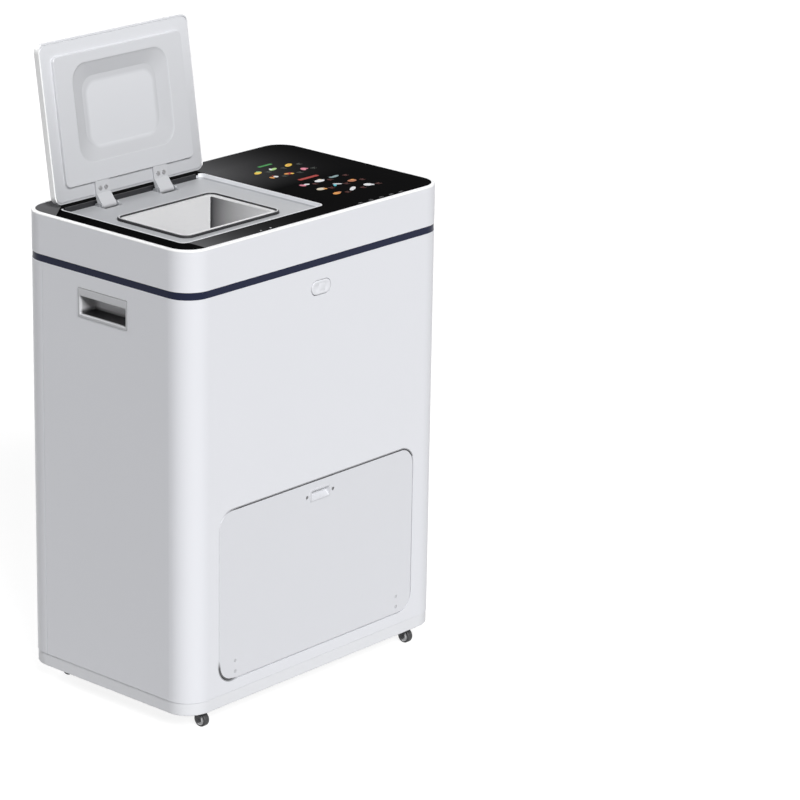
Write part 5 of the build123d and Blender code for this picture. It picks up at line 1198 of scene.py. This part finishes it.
class COMPOSTER_OT_status_lamps(Maker, bpy.types.Operator):
    """Set the two status lamps in the glass"""

    bl_idname = "composter.status_lamps"
    bl_label = "Status lamps"

    def make(self, colours, sizes):
        row, core = -142.5, 0.3
        bm = bmesh.new()
        for x, radius in ((-102.6, 1.1), (-85, 1.4)):
            profile = [(core, 0), (radius, 0), (radius, 0.1), (radius - 0.5, 0.28), (core, 0.36)]
            turned(bm, profile, on_glass(x, row), 24)
        lens = Finish("lamp_lens", Roughness=0.2)
        fleck = lens.noise(900.0, 2.0)
        lens.colour(fleck, (0.55, 0.57, 0.6), (0.8, 0.82, 0.85))
        add_piece("status_lamps", bm, (lens,), "cabinet")


class COMPOSTER_OT_stage(Maker, bpy.types.Operator):
    """Set the floor, the light and the camera"""

    bl_idname = "composter.stage"
    bl_label = "Stage"

    def make(self, colours, sizes):
        bpy.context.scene.view_settings.view_transform = "Standard"
        self.floor()
        self.world()
        self.sun("key", 3.5, spread=24, azimuth=-26, elevation=36)
        self.sun("back", 1.7, spread=40, azimuth=180, elevation=30)
        self.camera()

    def place(self, item, matrix):
        """Puts a lamp or a camera in the scene."""
        holder = bpy.data.objects.new(item.name, item)
        holder.matrix_world = matrix
        bpy.context.scene.collection.objects.link(holder)
        return holder

    def floor(self):
        """Grey paper that looks white to the camera but keeps the shadow."""
        half_size, grey, lift = 60, (0.26, 0.26, 0.26), 0.87
        bm = bmesh.new()
        bmesh.ops.create_grid(bm, x_segments=1, y_segments=1, size=half_size)
        mesh = bpy.data.meshes.new("floor")
        bm.to_mesh(mesh)
        bm.free()
        self.place(mesh, Matrix.Identity(4))
        paper = bpy.data.materials.new("floor_paper")
        paper.use_nodes = True
        nodes = Nodes(paper.node_tree)
        values = {"Base Color": grey, "Roughness": 0.9, "Specular IOR Level": 0.0}
        matt = nodes.node("ShaderNodeBsdfPrincipled", {}, values)
        glow = nodes.node("ShaderNodeEmission", {}, {"Color": WHITE, "Strength": lift})
        both = nodes.node("ShaderNodeAddShader", {}, {0: matt, 1: glow})
        mixed = nodes.node("ShaderNodeMixShader", {}, {0: nodes.seen(), 1: matt, 2: both})
        nodes.node("ShaderNodeOutputMaterial", {}, {0: mixed})
        mesh.materials.append(paper)

    def world(self):
        """A weak fill behind which the camera sees white."""
        world = bpy.data.worlds.new("studio")
        bpy.context.scene.world = world
        world.use_nodes = True
        nodes = Nodes(world.node_tree)
        fill, white = (
            nodes.node("ShaderNodeBackground", {}, {"Color": WHITE, "Strength": strength})
            for strength in (0.03, 1.0)
        )
        mixed = nodes.node("ShaderNodeMixShader", {}, {0: nodes.seen(), 1: fill, 2: white})
        nodes.node("ShaderNodeOutputWorld", {}, {0: mixed})

    def sun(self, name, strength, spread, azimuth, elevation):
        lamp = bpy.data.lights.new(name, "SUN")
        lamp.energy = strength
        lamp.angle = math.radians(spread)
        self.place(lamp, rotated(azimuth, "Z") @ rotated(90 - elevation, "X"))

    def camera(self):
        camera = bpy.data.cameras.new("camera")
        camera.sensor_width = 36
        camera.lens = 164.63
        camera.clip_end = 200
        yaw, pitch, roll = 48.729, 18.518, 1.049
        aim = rotated(-yaw, "Z") @ rotated(90 - pitch, "X") @ rotated(roll, "Z")
        place = Matrix.Translation((-3.349, -3.232, 1.932))
        bpy.context.scene.camera = self.place(camera, place @ aim)


class COMPOSTER_PT_sidebar(bpy.types.Panel):
    """Lists the composter's makers and settings"""

    bl_idname = "COMPOSTER_PT_sidebar"
    bl_label = "Composter"
    bl_space_type = "VIEW_3D"
    bl_region_type = "UI"
    bl_category = "Composter"

    def draw(self, context):
        for maker in MAKERS:
            self.layout.operator(maker.bl_idname)
        for group in (context.scene.composter_colours, context.scene.composter_sizes):
            for name in group.bl_rna.properties.keys():
                if name not in ("rna_type", "name"):
                    self.layout.prop(group, name)


MAKERS = (
    COMPOSTER_OT_stage,
    COMPOSTER_OT_casing,
    COMPOSTER_OT_lid_cover,
    COMPOSTER_OT_drawer_front,
    COMPOSTER_OT_glass_top,
    COMPOSTER_OT_deck,
    COMPOSTER_OT_metalwork,
    COMPOSTER_OT_machinery,
    COMPOSTER_OT_lid_panel,
    COMPOSTER_OT_handle_pockets,
    COMPOSTER_OT_start_button,
    COMPOSTER_OT_return_spring,
    COMPOSTER_OT_drawer_grip,
    COMPOSTER_OT_caster_wheels,
    COMPOSTER_OT_throat_seal,
    COMPOSTER_OT_fan_impeller,
    COMPOSTER_OT_food_icons,
    COMPOSTER_OT_touch_keys,
    COMPOSTER_OT_status_lamps,
)
CLASSES = (ComposterColours, ComposterSizes, *MAKERS, COMPOSTER_PT_sidebar)


def register():
    for item in CLASSES:
        bpy.utils.register_class(item)
    bpy.types.Scene.composter_colours = bpy.props.PointerProperty(type=ComposterColours)
    bpy.types.Scene.composter_sizes = bpy.props.PointerProperty(type=ComposterSizes)


def unregister():
    del bpy.types.Scene.composter_sizes
    del bpy.types.Scene.composter_colours
    for item in reversed(CLASSES):
        bpy.utils.unregister_class(item)


def main():
    register()
    for maker in MAKERS:
        getattr(bpy.ops.composter, maker.bl_idname.split(".")[1])()


if __name__ == "__main__":
    main()
